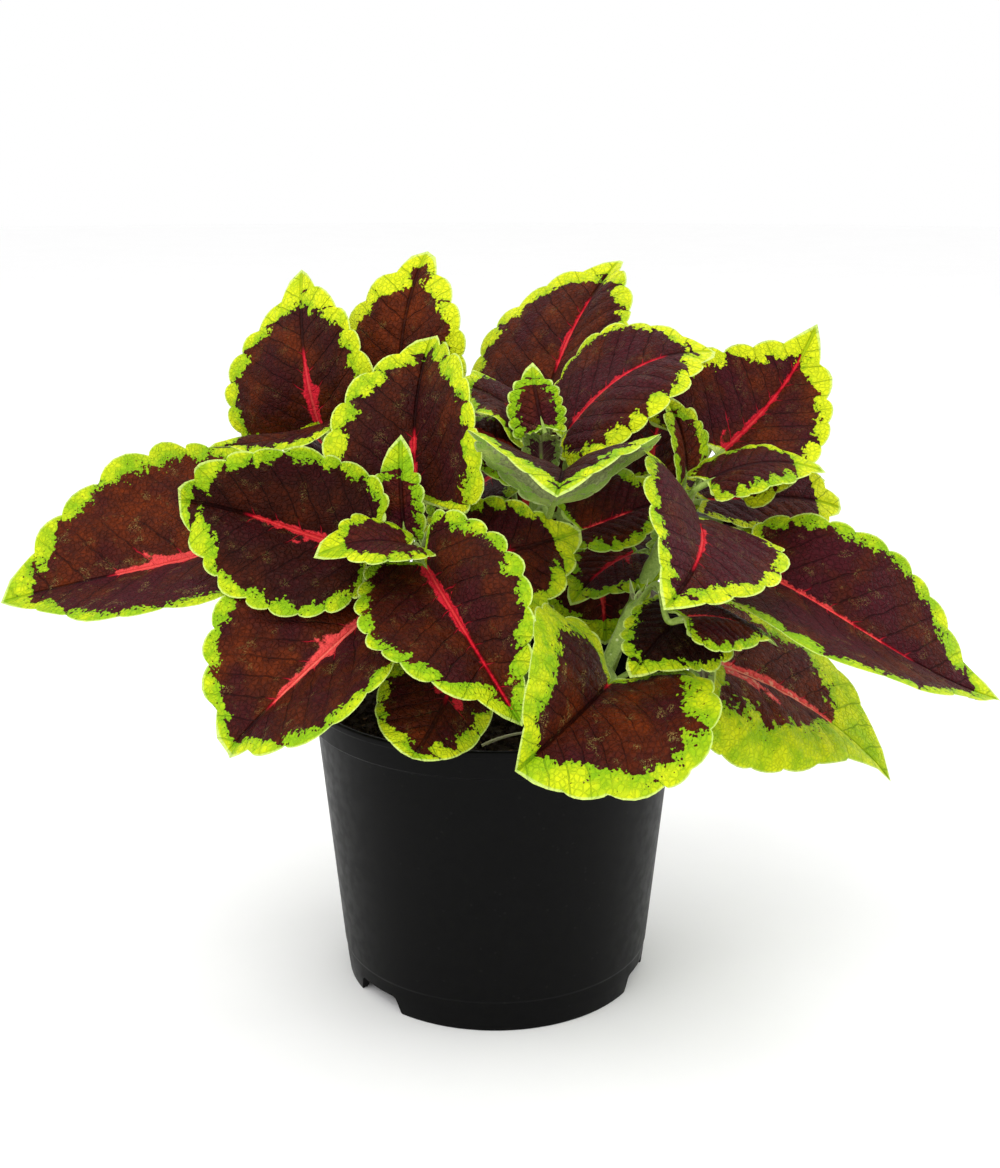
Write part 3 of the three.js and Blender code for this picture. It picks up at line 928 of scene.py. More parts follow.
MARKS: dict[str, Marks] = {
    "rear_left_leaf_wide": Marks(
        9, (4.5, 8.5), 9, depth=0.17, ruffle=1.3, purple=(0.75, 0.15), rust=(0.1, 0.7), coral=0.8,
        speckle=0.7,
        strokes=chains([(0.1, 0, 1.8), (0.38, 0, 4), (0.6, 0, 1.6)], [(0.42, 0, 2), (0.52, -9, 0.7)])),
    "rear_left_leaf_upper": Marks(
        9, (6, 7), 12, yellow=0.6, coral=0.1, purple=(0.2, 0.1), rust=(0.35, 0.3),
        strokes=chains([(0, 0, 1.8), (0.22, 0, 3), (0.46, 0, 0.6)], [(0.2, 0, 1.6), (0.27, 5, 0.4)],
            [(0.2, 0, 1.6), (0.27, -5, 0.4)])),
    "rear_left_leaf_tall": Marks(
        8, (7, 7), 10, yellow=0.85, rust=(0.8, 0.7), purple=(0.1, 0.1), speckle=0.4),
    "rear_left_leaf_edge_on": Marks(8, (4, 4), yellow=0.6),
    "front_leaf_left": Marks(
        # shade 0.8 here is painted shade on this leaf's dark blade
        10, (5.5, 5.5), 9, coral=0.35, speckle=0.35, purple=(0.2, 0.15), rust=(0.12, 0.12), shade=0.8,
        strokes=chains([(0.22, 0, 2.6), (0.34, 0, 2.2)], [(0.34, 0, 2), (0.6, 0, 0.9)],
            [(0.27, 0, 1.4), (0.37, 5, 0.4)])),
    "front_leaf_lower_left": Marks(
        9, (5, 5), 8, coral=0.9, speckle=0.5, purple=(0.3, 0.2), rust=(0.3, 0.5),
        strokes=chains([(0.15, 0, 1.8), (0.4, 0, 3.5), (0.72, 0, 1)], [(0.3, 0, 2.2), (0.42, -8, 0.5)],
            [(0.35, 0, 2), (0.42, 6, 0.5)])),
    "front_leaf_upright": Marks(
        9, (7, 7), 9, speckle=0.4, yellow=0.55, purple=(0.15, 0.2),
        strokes=chains([(0.14, 0, 2), (0.19, 0, 1.6)], [(0.3, 0.4, 1.9), (0.36, 0, 1)])),
    "front_young_leaf_upright": Marks(
        7, (4, 4), 12, depth=0.3, tip_share=0.3, purple=(0.9, 0.9), ruffle=0.6, quilt=0.5, yellow=0.1),
    "front_young_leaf_left": Marks(
        7, (5, 5), 11, depth=0.3, tip_share=0.26, purple=(0.8, 0.8), ruffle=0.8, quilt=0.6, yellow=0.4),
    "front_leaf_centre": Marks(
        10, (4.5, 4.5), 8, coral=0.15, purple=(0.25, 0.15), rust=(0.25, 0.35), speckle=0.4,
        strokes=chains([(0.02, 0, 1.6), (0.2, 0, 2.2), (0.45, 0, 1.8), (0.6, 0, 0.5)],
            [(0.6, 0, 0.4), (0.95, 0, 0.3)], [(0.02, 0, 1.2), (0.12, -4, 0.4)],
            [(0.25, 0, 1.2), (0.3, 4, 0.4)])),
    "front_leaf_right": Marks(9, (5.5, 6), 9, yellow=0.5, strokes=chains([(0.05, 0, 1.3), (0.45, 0, 0.5)])),
    "front_leaf_over_rim": Marks(
        8, (5, 5), 6, depth=0.05, speckle=0.3, yellow=0.5,
        strokes=chains([(0.3, -3, 2), (0.44, -4, 1.4)], [(0.4, 1, 2.2), (0.52, 6, 1.2)],
            [(0.36, -2, 1.6), (0.44, 3, 1.2)])),
    "low_leaf_over_rim": Marks(
        9, (9.5, 13), 12, depth=0.15, ruffle=1.3, speckle=1, purple=(0.25, 0.3), rust=(0.45, 0.35),
        yellow=0.35, strokes=chains([(0.03, 0, 1.7), (0.09, 0, 1.1)])),
    # shade 0.4 here is painted shade: this leaf inside the plant is darkened
    "low_leaf_inner": Marks(8, (4, 4), 6, shade=0.4, yellow=0.5, purple=(0.1, 0.1), rust=(0, 0)),
    "low_leaf_right": Marks(9, (4.5, 4.5), 8, coral=0.6, strokes=chains([(0, 0, 0.8), (0.5, 0, 0.4)])),
    "low_leaf_drooping": Marks(
        8, (12, 19), 22, depth=0.09, tip_share=0.2, coral=1, speckle=1,
        rust=(0.7, 0.75), yellow=0.35,
        strokes=chains([(0.08, 0, 2.2), (0.35, 0, 3.4), (0.66, 0, 0.9)],
            [(0.02, -2, 3.2), (0.32, -15, 1.2)], [(0.02, -3, 5), (0.2, -8, 2.6)])),
    "right_leaf_saddle": Marks(
        9, (5, 5), 8, purple=(0.85, 0.85), rust=(0.05, 0.05), yellow=0.55,
        strokes=chains([(0.15, 0, 1.2), (0.4, 0, 1.9), (0.62, 0, 0.6)])),
    "right_leaf_far_right": Marks(
        11, (5, 5), 10, depth=0.15, ruffle=1.2, coral=0.8, purple=(0.65, 0.55), rust=(0.15, 0.2),
        speckle=0.5,
        strokes=chains([(0, 0, 1.9), (0.32, 0, 0.9)], [(0.32, 0, 0.5), (0.6, 0, 0.1)],
            [(-0.02, -3, 1), (0.05, -6, 0.5)])),
    "right_leaf_upper": Marks(
        9, (5.5, 5.5), 11, yellow=0.9, coral=0.1, purple=(0.55, 0.3), rust=(0.3, 0.5),
        strokes=chains([(0, 0, 1.8), (0.5, 0, 1)], [(0.5, 0, 0.7), (0.85, 0, 0.3)],
            [(0.01, 0, 1), (0.2, 8, 0.4)])),
    "right_leaf_small": Marks(8, (5, 5), 10, yellow=0.5, purple=(0.5, 0.5)),
    "right_leaf_back": Marks(
        8, (5, 5), 14, yellow=0.85, purple=(0.7, 0.7), strokes=chains([(0.05, 0, 0.8), (0.3, 0, 0.3)])),
    "right_leaf_folded": Marks(
        8, (4, 4), 8, depth=0.3, tip_share=0.2, ruffle=0.6, quilt=0.5, yellow=0.4, rust=(0.7, 0.7)),
    "middle_leaf_back": Marks(
        9, (6, 6), 11, yellow=0.75, coral=0.15, rust=(0.4, 0.3),
        strokes=chains([(0.23, 0, 1.2), (0.4, 0, 1.6), (0.66, 0, 0.5)])),
    "middle_leaf_right": Marks(
        9, (3, 6), 9, yellow=0.8, purple=(0.6, 0.6), rust=(0.15, 0.15), coral=0.15,
        strokes=chains([(0.12, 0, 1.5), (0.45, 0, 1.1)], [(0.45, 0, 0.7), (0.7, 0, 0.2)])),
    "middle_leaf_cupped": Marks(9, (6, 6), 9, ruffle=1.1, yellow=0.4, purple=(0, 0), rust=(0, 0)),
    "middle_leaf_left": Marks(8, (5, 5), 8, yellow=0.4, strokes=chains([(0.1, 0, 0.6), (0.4, 0, 0.3)])),
    "middle_leaf_lower_left": Marks(
        7, (3.5, 3.5), 6, rust=(0.8, 0.8), purple=(0, 0), coral=0.9,
        strokes=chains([(0.2, 0, 3), (0.8, 0, 1.6)])),
    "middle_young_leaf_upright": Marks(
        8, (4, 4), 8, depth=0.32, tip_share=0.2, purple=(0.8, 0.8), ruffle=0.7, quilt=0.5, yellow=0.2),
    "middle_young_leaf_front": Marks(
        6, (3, 3), 6, depth=0.3, tip_share=0.24, purple=(1, 1), ruffle=0.5, quilt=0.4, yellow=0.4),
    "middle_leaf_lower_right": Marks(
        8, (4.5, 4.5), 8, coral=0.7, strokes=chains([(0, 0, 0.7), (0.5, 0, 0.4)])),
}

LEAVES: dict[str, tuple[Leaf, ...]] = {
    "front": (
        Leaf("front_leaf_left", 0.86, (-46, -28, 181), (-120, -11, 197), (35, 33), -45, (25, 45),
             (-30, -10), twist=-30, arch=(-0.05, 0.15), lobe=0.15, taper=(0.5, 0.8)),
        Leaf("front_leaf_lower_left", 0.78, (-38, -36, 168), (-95, -72, 119), (41, 45), -15, (25, 15),
             (-20, 10), arch=(0.05, 0.1), sway=0.05, taper=(0.7, 0.7)),
        Leaf("front_leaf_upright", 0.9, (-29, -14, 196), (-25, 30, 254), (34, 37), -5, (25, 35), (-10, 0),
             twist=-20, arch=(0.1, 0.1), sway=0.05, taper=(0.5, 1)),
        Leaf("front_young_leaf_upright", 0.92, (-34, -24, 188), (-35, -18, 223), (12, 9), -20, (15, 15),
             (-20, -20), rise=0.04, arch=(0.1, 0.1), taper=(0.5, 1)),
        Leaf("front_young_leaf_left", 0.92, (-30, -45, 188), (-64, -53, 186), (21, 19), 0, (10, 15),
             (-20, -10), twist=-20, sway=0.05, taper=(0.6, 1)),
        Leaf("front_leaf_centre", 0.84, (-26, -42, 181), (9, -106, 142), (31, 33), 35, (45, 20), (-30, -10),
             twist=-25, arch=(0.05, 0.15), taper=(0.8, 1.1)),
        Leaf("front_leaf_right", 0.72, (-21, -30, 177), (32, -18, 187), (25, 29), 40, (15, 5), (-20, -30),
             twist=5, arch=(0.1, 0.1), sway=-0.1, taper=(0.6, 1)),
        Leaf("front_leaf_over_rim", 0.52, (-12, -48, 149), (-28, -96, 126), (18, 25), -20, (0, 0),
             (-30, -20), twist=10, arch=(0.1, 0), sway=0.05, taper=(0.6, 0.6)),
    ),
    "middle": (
        Leaf("middle_leaf_back", 0.84, (21, 39, 228), (52, 81, 280), (40, 34), -5, (25, 20), (-30, -30),
             rise=0, twist=-10, arch=(0.05, 0.05), sway=0.05, taper=(0.5, 0.9)),
        Leaf("middle_leaf_right", 0.86, (26, 11, 217), (85, 17, 250), (34, 33), 10, (15, 5), (-10, -30),
             twist=10, arch=(0.2, 0.25), sway=-0.05, lobe=0.12, taper=(0.6, 0.9)),
        Leaf("middle_leaf_cupped", 0.74, (21, -23, 197), (21, -80, 214), (37, 36), -5, (32, 25), (-15, -15),
             arch=(0.2, 0.3), sway=0.05, lobe=0.08, taper=(0.8, 0.8)),
        Leaf("middle_leaf_left", 0.97, (15, -7, 220), (-13, 1, 240), (27, 27), -5, (5, 15), (10, -70),
             twist=-10, arch=(0.15, 0.1), sway=-0.1, taper=(0.6, 0.6)),
        Leaf("middle_leaf_lower_left", 0.89, (10, -1, 210), (-18, 9, 223), (17, 17), -25),
        Leaf("middle_young_leaf_upright", 0.97, (18, -23, 227), (14, -11, 249), (12, 10), -10, (5, 5),
             (-20, -30), arch=(0.05, 0.1), sway=0.05, taper=(0.5, 1.1)),
        Leaf("middle_young_leaf_front", 0.86, (17, -29, 213), (16, -43, 228), (8, 8), 0, (35, 35),
             (-10, -10), arch=(0.2, 0.2)),
        Leaf("middle_leaf_lower_right", 0.65, (32, -6, 184), (68, -1, 195), (26, 22), 5, (40, 10),
             (-20, -40), twist=5, arch=(0, 0.05), taper=(0.6, 0.9)),
        Leaf("middle_leaf_lower_back", 0.7, (16, 31, 211), (27, 78, 240), (23, 23), -6),
        Leaf("middle_leaf_hanging", 0.6, (2, 27, 200), (-24, 6, 176), (22, 22)),
    ),
    "right": (
        Leaf("right_leaf_saddle", 0.85, (73, -28, 195), (57, -92, 178), (32, 35), -25, (0, 55), (0, -40),
             twist=15, arch=(0.15, 0.1), sway=0.1, taper=(0.5, 1)),
        Leaf("right_leaf_far_right", 0.52, (105, -19, 169), (189, -40, 127), (37, 45), 25, (25, 15),
             (10, 0), twist=-25, arch=(0.1, 0), sway=-0.1, lobe=0.3, taper=(0.8, 1.1)),
        Leaf("right_leaf_upper", 0.93, (88, 19, 209), (132, 56, 256), (38, 34), 25, (25, 20), (0, -20),
             rise=0.06, twist=15, arch=(-0.05, -0.1), sway=-0.05, lobe=0.3, taper=(0.45, 1.3)),
        Leaf("right_leaf_small", 0.9, (80, -9, 204), (127, 0, 206), (18, 21), 10, (10, 5), (-30, -10),
             twist=10, sway=0.05, lobe=0.15, taper=(0.5, 1)),
        Leaf("right_leaf_back", 0.87, (82, 18, 191), (140, 29, 185), (23, 24), 10, (25, 10), (-30, -30),
             twist=20, arch=(0, 0.1), sway=0.05, taper=(0.6, 0.7)),
        Leaf("right_leaf_folded", 0.88, (75, 13, 202), (66, 22, 232), (13, 12), 0, (30, 30)),
        Leaf("right_leaf_rear_upper", 0.8, (94, 30, 183), (139, 75, 189), (24, 24), 8),
        Leaf("right_leaf_rear_lower", 0.72, (83, 19, 171), (107, 80, 173), (26, 26), -10),
        Leaf("right_leaf_inner", 0.54, (58, 21, 169), (30, 3, 152), (22, 22), -10),
    ),
    "low": (
        Leaf("low_leaf_over_rim", 0.53, (42, -63, 143), (7, -119, 131), (45, 39), -25, (35, 40), (-10, -30),
             twist=-40, arch=(0.1, 0.1), sway=0.05, taper=(0.6, 0.8)),
        Leaf("low_leaf_inner", 0.85, (72, -39, 161), (48, -71, 147), (24, 18), -15, (5, 10), (-30, -30),
             arch=(0.1, 0.1), taper=(0.5, 1)),
        Leaf("low_leaf_right", 0.95, (66, -62, 166), (101, -61, 155), (22, 26), -5, (10, 5), (-20, -40),
             rise=0.3, sway=0.05, lobe=0.15, taper=(0.5, 1)),
        Leaf("low_leaf_drooping", 0.45, (80, -26, 139), (155, -22, 87), (43, 48), 0, (40, 5), (-20, -70),
             arch=(0.05, 0.1), sway=0.1, taper=(0.4, 1.1)),
    ),
    "back_left": (
        Leaf("rear_left_leaf_wide", 0.62, (-83, 21, 179), (-193, -5, 155), (48, 59), 25, (-15, 55),
             (-20, 10), twist=-15, arch=(-0.05, 0), sway=0.05, lobe=0.15, taper=(0.5, 0.9)),
        Leaf("rear_left_leaf_upper", 0.9, (-71, 41, 214), (-79, 56, 278), (41, 32), -40, (-5, 20),
             (-10, -10), twist=-10, arch=(0.25, 0.15), lobe=0.15, taper=(0.4, 1)),
        Leaf("rear_left_leaf_tall", 0.88, (-39, 34, 215), (-28, 62, 285), (31, 32), -15, (20, 10),
             (-30, -20), rise=0.04, twist=5, arch=(0.1, 0.15), taper=(0.6, 1)),
        Leaf("rear_left_leaf_edge_on", 0.94, (-63, 18, 222), (-110, 4, 215), (18, 19), 5, (10, 10),
             (-20, -40), twist=-15, arch=(-0.05, -0.05), taper=(0.6, 0.9)),
        Leaf("rear_left_leaf_1", 0.96, (-44, 46, 208), (-52, 98, 236), (26, 26), -8),
        Leaf("rear_left_leaf_2", 0.76, (-67, 62, 197), (-110, 96, 214), (27, 27), 10),
        Leaf("rear_left_leaf_3", 0.79, (-30, 52, 190), (-8, 100, 216), (25, 25), -10),
        Leaf("rear_left_leaf_4", 0.56, (-70, 33, 168), (-140, 61, 158), (30, 30), -12),
        Leaf("rear_left_leaf_5", 0.57, (-36, 55, 168), (-48, 95, 191), (28, 28), 8),
        Leaf("rear_left_leaf_6", 0.43, (-52, 24, 148), (-112, 74, 124), (29, 29), 8),
    ),
    "back_right": (
        Leaf("rear_right_leaf_inner", 0.5, (42, 43, 163), (45, 21, 130), (22, 27)),
        Leaf("rear_right_leaf_1", 0.93, (26, 54, 212), (30, 94, 246), (24, 24), 6),
        Leaf("rear_right_leaf_2", 0.86, (66, 63, 191), (80, 79, 235), (31, 28)),
        Leaf("rear_right_leaf_3", 0.76, (14, 54, 168), (24, 88, 214), (27, 27), 5),
        Leaf("rear_right_leaf_4", 0.58, (56, 49, 169), (127, 79, 157), (30, 30), 10),
        Leaf("rear_right_leaf_5", 0.53, (36, 56, 158), (52, 121, 140), (29, 29), -6),
        Leaf("rear_right_leaf_6", 0.5, (67, 45, 148), (93, 62, 94), (30, 30), -6),
        Leaf("rear_right_leaf_7", 0.3, (8, 34, 140), (6, 92, 120), (27, 27), 6),
    ),
}


@dataclass(frozen=True)
class Stem:
    """A square stem from its root to its growing tip, with two pairs of bud leaves.

    The joint is the swelling's height and half length where a stalk leaves. Bud leans are for the outer
    and the inner pair, and a bud stands a step out from the tip and a step below it.
    """

    name: str
    root: Pair
    bend: Point
    top: Point
    radius: float = 2.6
    soil_top: float = 107
    root_depth: float = 19
    squareness: float = 4
    rings: int = 90
    sides: int = 24
    joint: Pair = (0.4, 2.4)
    most_swelling: float = 0.6
    tip_zone: float = 0.94
    tip_thinning: float = 0.35
    bud_length: float = 10
    bud_half: float = 2.6
    bud_leans: Pair = (16, 28)
    bud_step: Pair = (0.8, 0.6)
    inner_shortening: float = 0.3
    inner_narrowing: float = 0.2
    sharp: float = 50

    def handles(self) -> Array:
        """The stem's Bezier handles: its root, its bend and its tip."""
        return np.array([[*self.root, self.soil_top - self.root_depth], self.bend, self.top], float)

    def buds(self) -> list[Blade]:
        """Two pairs of small leaves crossed over each other, the inner pair shorter and leaning more.

        Returns:
            Four blades, a quarter turn apart.
        """
        found = []
        for number in range(4):
            turn, inner = CIRCLE / 4 * number, number % 2
            outward = np.array([math.cos(turn), math.sin(turn), 0])
            heading = unit(UP + outward * math.tan(math.radians(self.bud_leans[inner])))
            foot = np.array(self.top, float) + outward * self.bud_step[0] - UP * self.bud_step[1]
            tip = foot + heading * self.bud_length * (1 - self.inner_shortening * inner)
            half = self.bud_half * (1 - self.inner_narrowing * inner)
            leaf = Leaf(
                f"{self.name}_bud_{number}", 1, tuple(foot), tuple(tip), (half, half),
                lift=(35, 35), curl=(-20, -20), arch=(-0.12, -0.05), lobe=0.05,
            )
            found.append(Blade(leaf, BUD_MARKS, columns=9, thickness=0.5))
        return found

    def build(self, looks: Looks) -> None:
        """Sweeps the stem, adds its buds and makes the piece.

        The radius takes on a bell e^-(d/l)^2 at each stalk and narrows smoothly at the tip.

        Args:
            looks: The materials.
        """
        share = np.linspace(0, 1, self.rings)
        path, _ = bezier(self.handles(), share)
        length = travelled(path)[-1]
        radius = np.full(len(share), self.radius)
        for leaf in LEAVES[self.name]:
            radius += self.joint[0] * np.exp(-(((share - leaf.at) * length / self.joint[1]) ** 2))
        radius *= 1 - self.tip_thinning * smoothstep(self.tip_zone, 1, share)
        radius = np.minimum(radius, self.radius + self.most_swelling)
        piece = Piece(f"{self.name}_stem_and_buds", Slot.STEM, self.sharp)
        piece.add(swept(path, radius, self.sides, self.squareness, LeafCoat.STALK))
        for blade in self.buds():
            piece.add(*blade.halves())
        piece.build([looks.upper, looks.under, looks.stalk], (f"{self.name}_stem",))


STEMS = (
    Stem("front", (-18, -8), (-20, -20, 140), (-29, -29, 181)),
    Stem("middle", (8, 2), (12, 3, 160), (19, -3, 221)),
    Stem("right", (34, -2), (50, 2, 150), (74, 0, 193)),
    Stem("low", (30, -24), (38, -30, 135), (54, -27, 162)),
    Stem("back_left", (-16, 20), (-32, 36, 150), (-56, 37, 203)),
    Stem("back_right", (16, 26), (26, 46, 150), (32, 50, 206)),
)


@dataclass(frozen=True)
class Foliage:
    """All the leaves of one stem."""

    stem: Stem
    leaves: tuple[Leaf, ...]
    sharp: float = 50

    def marks(self, leaf: Leaf) -> Marks:
        """The leaf's own marks, or marks by chance for a leaf that has none of its own.

        Args:
            leaf: The leaf.

        Returns:
            Its marks, the same each time.
        """
        if leaf.name in MARKS:
            return MARKS[leaf.name]
        chance = np.random.default_rng(zlib.crc32(leaf.name.encode()))
        reach = chance.uniform(0.3, 0.55)
        side = chance.choice([-1, 1])
        strokes = chains(
            [(0.02, 0, 1.7), (reach, 0, 1.2), (reach + 0.3, 0, 0.25)],
            [(reach * 0.5, 0, 1.3), (reach * 0.5 + 0.12, side * 6, 0.4)],
        )
        band = chance.uniform(3.8, 6.2)
        return Marks(
            lobes=int(chance.integers(8, 11)),
            band=(band, band * chance.uniform(0.8, 1.25)),
            purple=(chance.uniform(0.1, 0.6), chance.uniform(0.1, 0.6)),
            rust=(chance.uniform(0.1, 0.5), chance.uniform(0.1, 0.5)),
            yellow=chance.uniform(0.15, 0.6),
            coral=chance.uniform(0, 0.6),
            speckle=chance.uniform(0.15, 0.5),
            strokes=strokes,
        )

    def build(self, looks: Looks) -> None:
        """Makes one piece for each leaf: its blade and its stalk.

        Args:
            looks: The materials.
        """
        for leaf in self.leaves:
            blade = Blade(leaf, self.marks(leaf))
            slot = Slot.YOUNG_LEAF if leaf.is_young else Slot.LEAF
            piece = Piece(f"{leaf.name}_blade", slot, self.sharp)
            piece.add(*blade.halves(), Stalk(blade, self.stem.handles()).patch())
            piece.build([looks.upper, looks.under, looks.stalk], (leaf.name,))


# ---- pot and soil ----


def rounded(profile: Array, radius: Array, steps: int = 5) -> Array:
    """A closed profile with each corner replaced by a quadratic curve that leaves its edges at the radius.

    Args:
        profile: Corners in order, one a row.
        radius: Distance from each corner at which its curve starts and ends.
        steps: Points on each curve.

    Returns:
        The points of the rounded profile.
    """
    before = unit(np.roll(profile, 1, axis=0) - profile) * radius[:, None]
    after = unit(np.roll(profile, -1, axis=0) - profile) * radius[:, None]
    t = np.linspace(0, 1, steps)[None, :, None]
    start, corner, end = (profile + before)[:, None], profile[:, None], (profile + after)[:, None]
    return ((1 - t) ** 2 * start + 2 * t * (1 - t) * corner + t**2 * end).reshape(-1, 2)


def turned(profile: Array, segments: int) -> Patch:
    """A profile of radius and height turned about the Z axis.

    Args:
        profile: The profile, running so that its outside is on the right.
        segments: Segments of a full turn.

    Returns:
        The patch, with girth and height as its flat coordinates.
    """
    angle = np.linspace(0, CIRCLE, segments, endpoint=False)
    radius, height = profile.T
    x = radius[:, None] * np.cos(angle)
    y = radius[:, None] * np.sin(angle)
    z = np.broadcast_to(height[:, None], x.shape)
    points = np.stack([x, y, z], axis=-1).reshape(-1, 3)
    triangles = grid_triangles(len(profile), segments, ring=True)[:, ::-1]
    flat = np.stack([radius[:, None] * angle, z], axis=-1).reshape(-1, 2) / FLAT_UNIT
    return Patch(points, triangles, flat)


@dataclass(frozen=True)
class Pot:
    """A round nursery pot: a tapered thin wall, a collar, a raised floor and three drainage notches.

    Drain angles are in degrees from the front to the right, drain depths the distances from the axis
    between which a notch is cut, and drain widths those at the foot and above.
    """

    height: float = 120
    rim_radius: float = 75
    rim_wall: float = 1.9
    rim_depth: float = 11
    rim_foot_radius: float = 74.1
    wall_top_radius: float = 71.5
    wall_low_radius: float = 62.2
    base_band: float = 13
    foot_radius: float = 60.6
    foot_width: float = 2.6
    wall: float = 1.5
    floor_underside: float = 5
    floor_top: float = 6.5
    segments: int = 240
    drain_angles: tuple[float, ...] = (-49.5, 70.5, 190.5)
    drain_depths: Pair = (54, 70)
    drain_widths: Pair = (27, 21)
    drain_height: float = 7
    drain_rounding: tuple[float, ...] = (0.1, 0.1, 1.6, 1.6)
    sharp: float = 35

    def inner_radius(self, height: float) -> float:
        """Radius of the inner wall, which widens evenly from the base band to the collar."""
        share = (height - self.base_band) / (self.height - self.rim_depth - self.base_band)
        return self.wall_low_radius + (self.wall_top_radius - self.wall_low_radius) * share - self.wall

    def profile(self) -> Array:
        """The wall's section as a closed line, starting under the floor and going out and up.

        Returns:
            Radius and height of each point.
        """
        rim, wall, band = self.rim_radius, self.wall, self.base_band
        under, top = self.floor_underside, self.height
        collar, low, high = top - self.rim_depth, self.wall_low_radius, self.wall_top_radius
        outer_foot, inner_foot = self.foot_radius, self.foot_radius - self.foot_width
        corners = [  # radius, height, and how far the corner is rounded
            (0, under, 0.05), (inner_foot - wall, under, 0.6),
            # foot ring
            (inner_foot, 0, 0.5), (outer_foot, 0, 0.6),
            # base band and the line above it
            (outer_foot + 0.9, band * 0.55, 0.5), (low - 0.25, band - 0.5, 0.4),
            (low + 0.15, band + 0.4, 0.4),
            # top of the wall, and the step out to the collar
            (high - 0.1, collar - 1.0, 0.8), (high + 0.9, collar - 0.35, 0.5),
            (self.rim_foot_radius, collar + 0.2, 0.6),
            # lip
            (rim - 0.25, top - 2.6, 0.4), (rim, top - 2.2, 0.4), (rim, top, 0.85),
            (rim - self.rim_wall, top, 0.85),
            # inside, down to the floor
            (self.rim_foot_radius - self.rim_wall, collar + wall, 0.6), (high - wall, collar, 0.6),
            (low - wall, band, 0.6), (self.inner_radius(self.floor_top), self.floor_top, 0.8),
            (0, self.floor_top, 0.05),
        ]
        table = np.array(corners)
        return rounded(table[:, :2], table[:, 2])

    def notch(self, angle: float) -> Patch:
        """The wedge that opens one drainage notch through the foot and the edge of the floor.

        Args:
            angle: Its direction in degrees from the front.

        Returns:
            A closed wedge: a rounded outline carried outwards, with a fan of triangles on each end.
        """
        turn = math.radians(angle)
        outward = np.array([math.sin(turn), -math.cos(turn), 0])
        across = np.cross(UP, outward)
        low, high = (width / 2 for width in self.drain_widths)
        top = self.drain_height
        corners = np.array([[-low, -1], [low, -1], [high, top], [-high, top]])
        outline = rounded(corners, np.array(self.drain_rounding))
        upright = outline[:, :1] * across + outline[:, 1:] * UP
        near, far = (upright + outward * depth for depth in self.drain_depths)
        count = len(outline)
        here = np.arange(count)
        beside = (here + 1) % count
        inner, outer = (np.full(count, 2 * count + k) for k in range(2))
        sides = [
            [here, beside, beside + count],
            [here, beside + count, here + count],
            [inner, beside, here],
            [outer, here + count, beside + count],
        ]
        triangles = np.concatenate([np.stack(side, axis=1) for side in sides])
        points = np.vstack([near, far, near.mean(axis=0), far.mean(axis=0)])
        return Patch(points, triangles, np.zeros((len(points), 2)))

    def build(self, looks: Looks) -> None:
        """Turns the wall, cuts the notches and makes the piece.

        Args:
            looks: The materials.
        """
        piece = Piece("nursery_pot_shell", Slot.POT, self.sharp)
        piece.add(turned(self.profile(), self.segments))
        pot = piece.build([looks.pot], ("nursery_pot",))
        for number, angle in enumerate(self.drain_angles):
            name = f"notch_{number}"
            tool = placed(name, self.notch(angle).mesh(name))
            cut = pot.modifiers.new("notch", "BOOLEAN")
            cut.operation, cut.solver, cut.object = "DIFFERENCE", "EXACT", tool
            bpy.context.view_layer.update()
            seen = pot.evaluated_get(bpy.context.evaluated_depsgraph_get())
            whole = bpy.data.meshes.new_from_object(seen)
            pot.modifiers.clear()
            pot.data = whole
            bpy.data.objects.remove(tool)
        pot.data.set_sharp_from_angle(angle=math.radians(self.sharp))


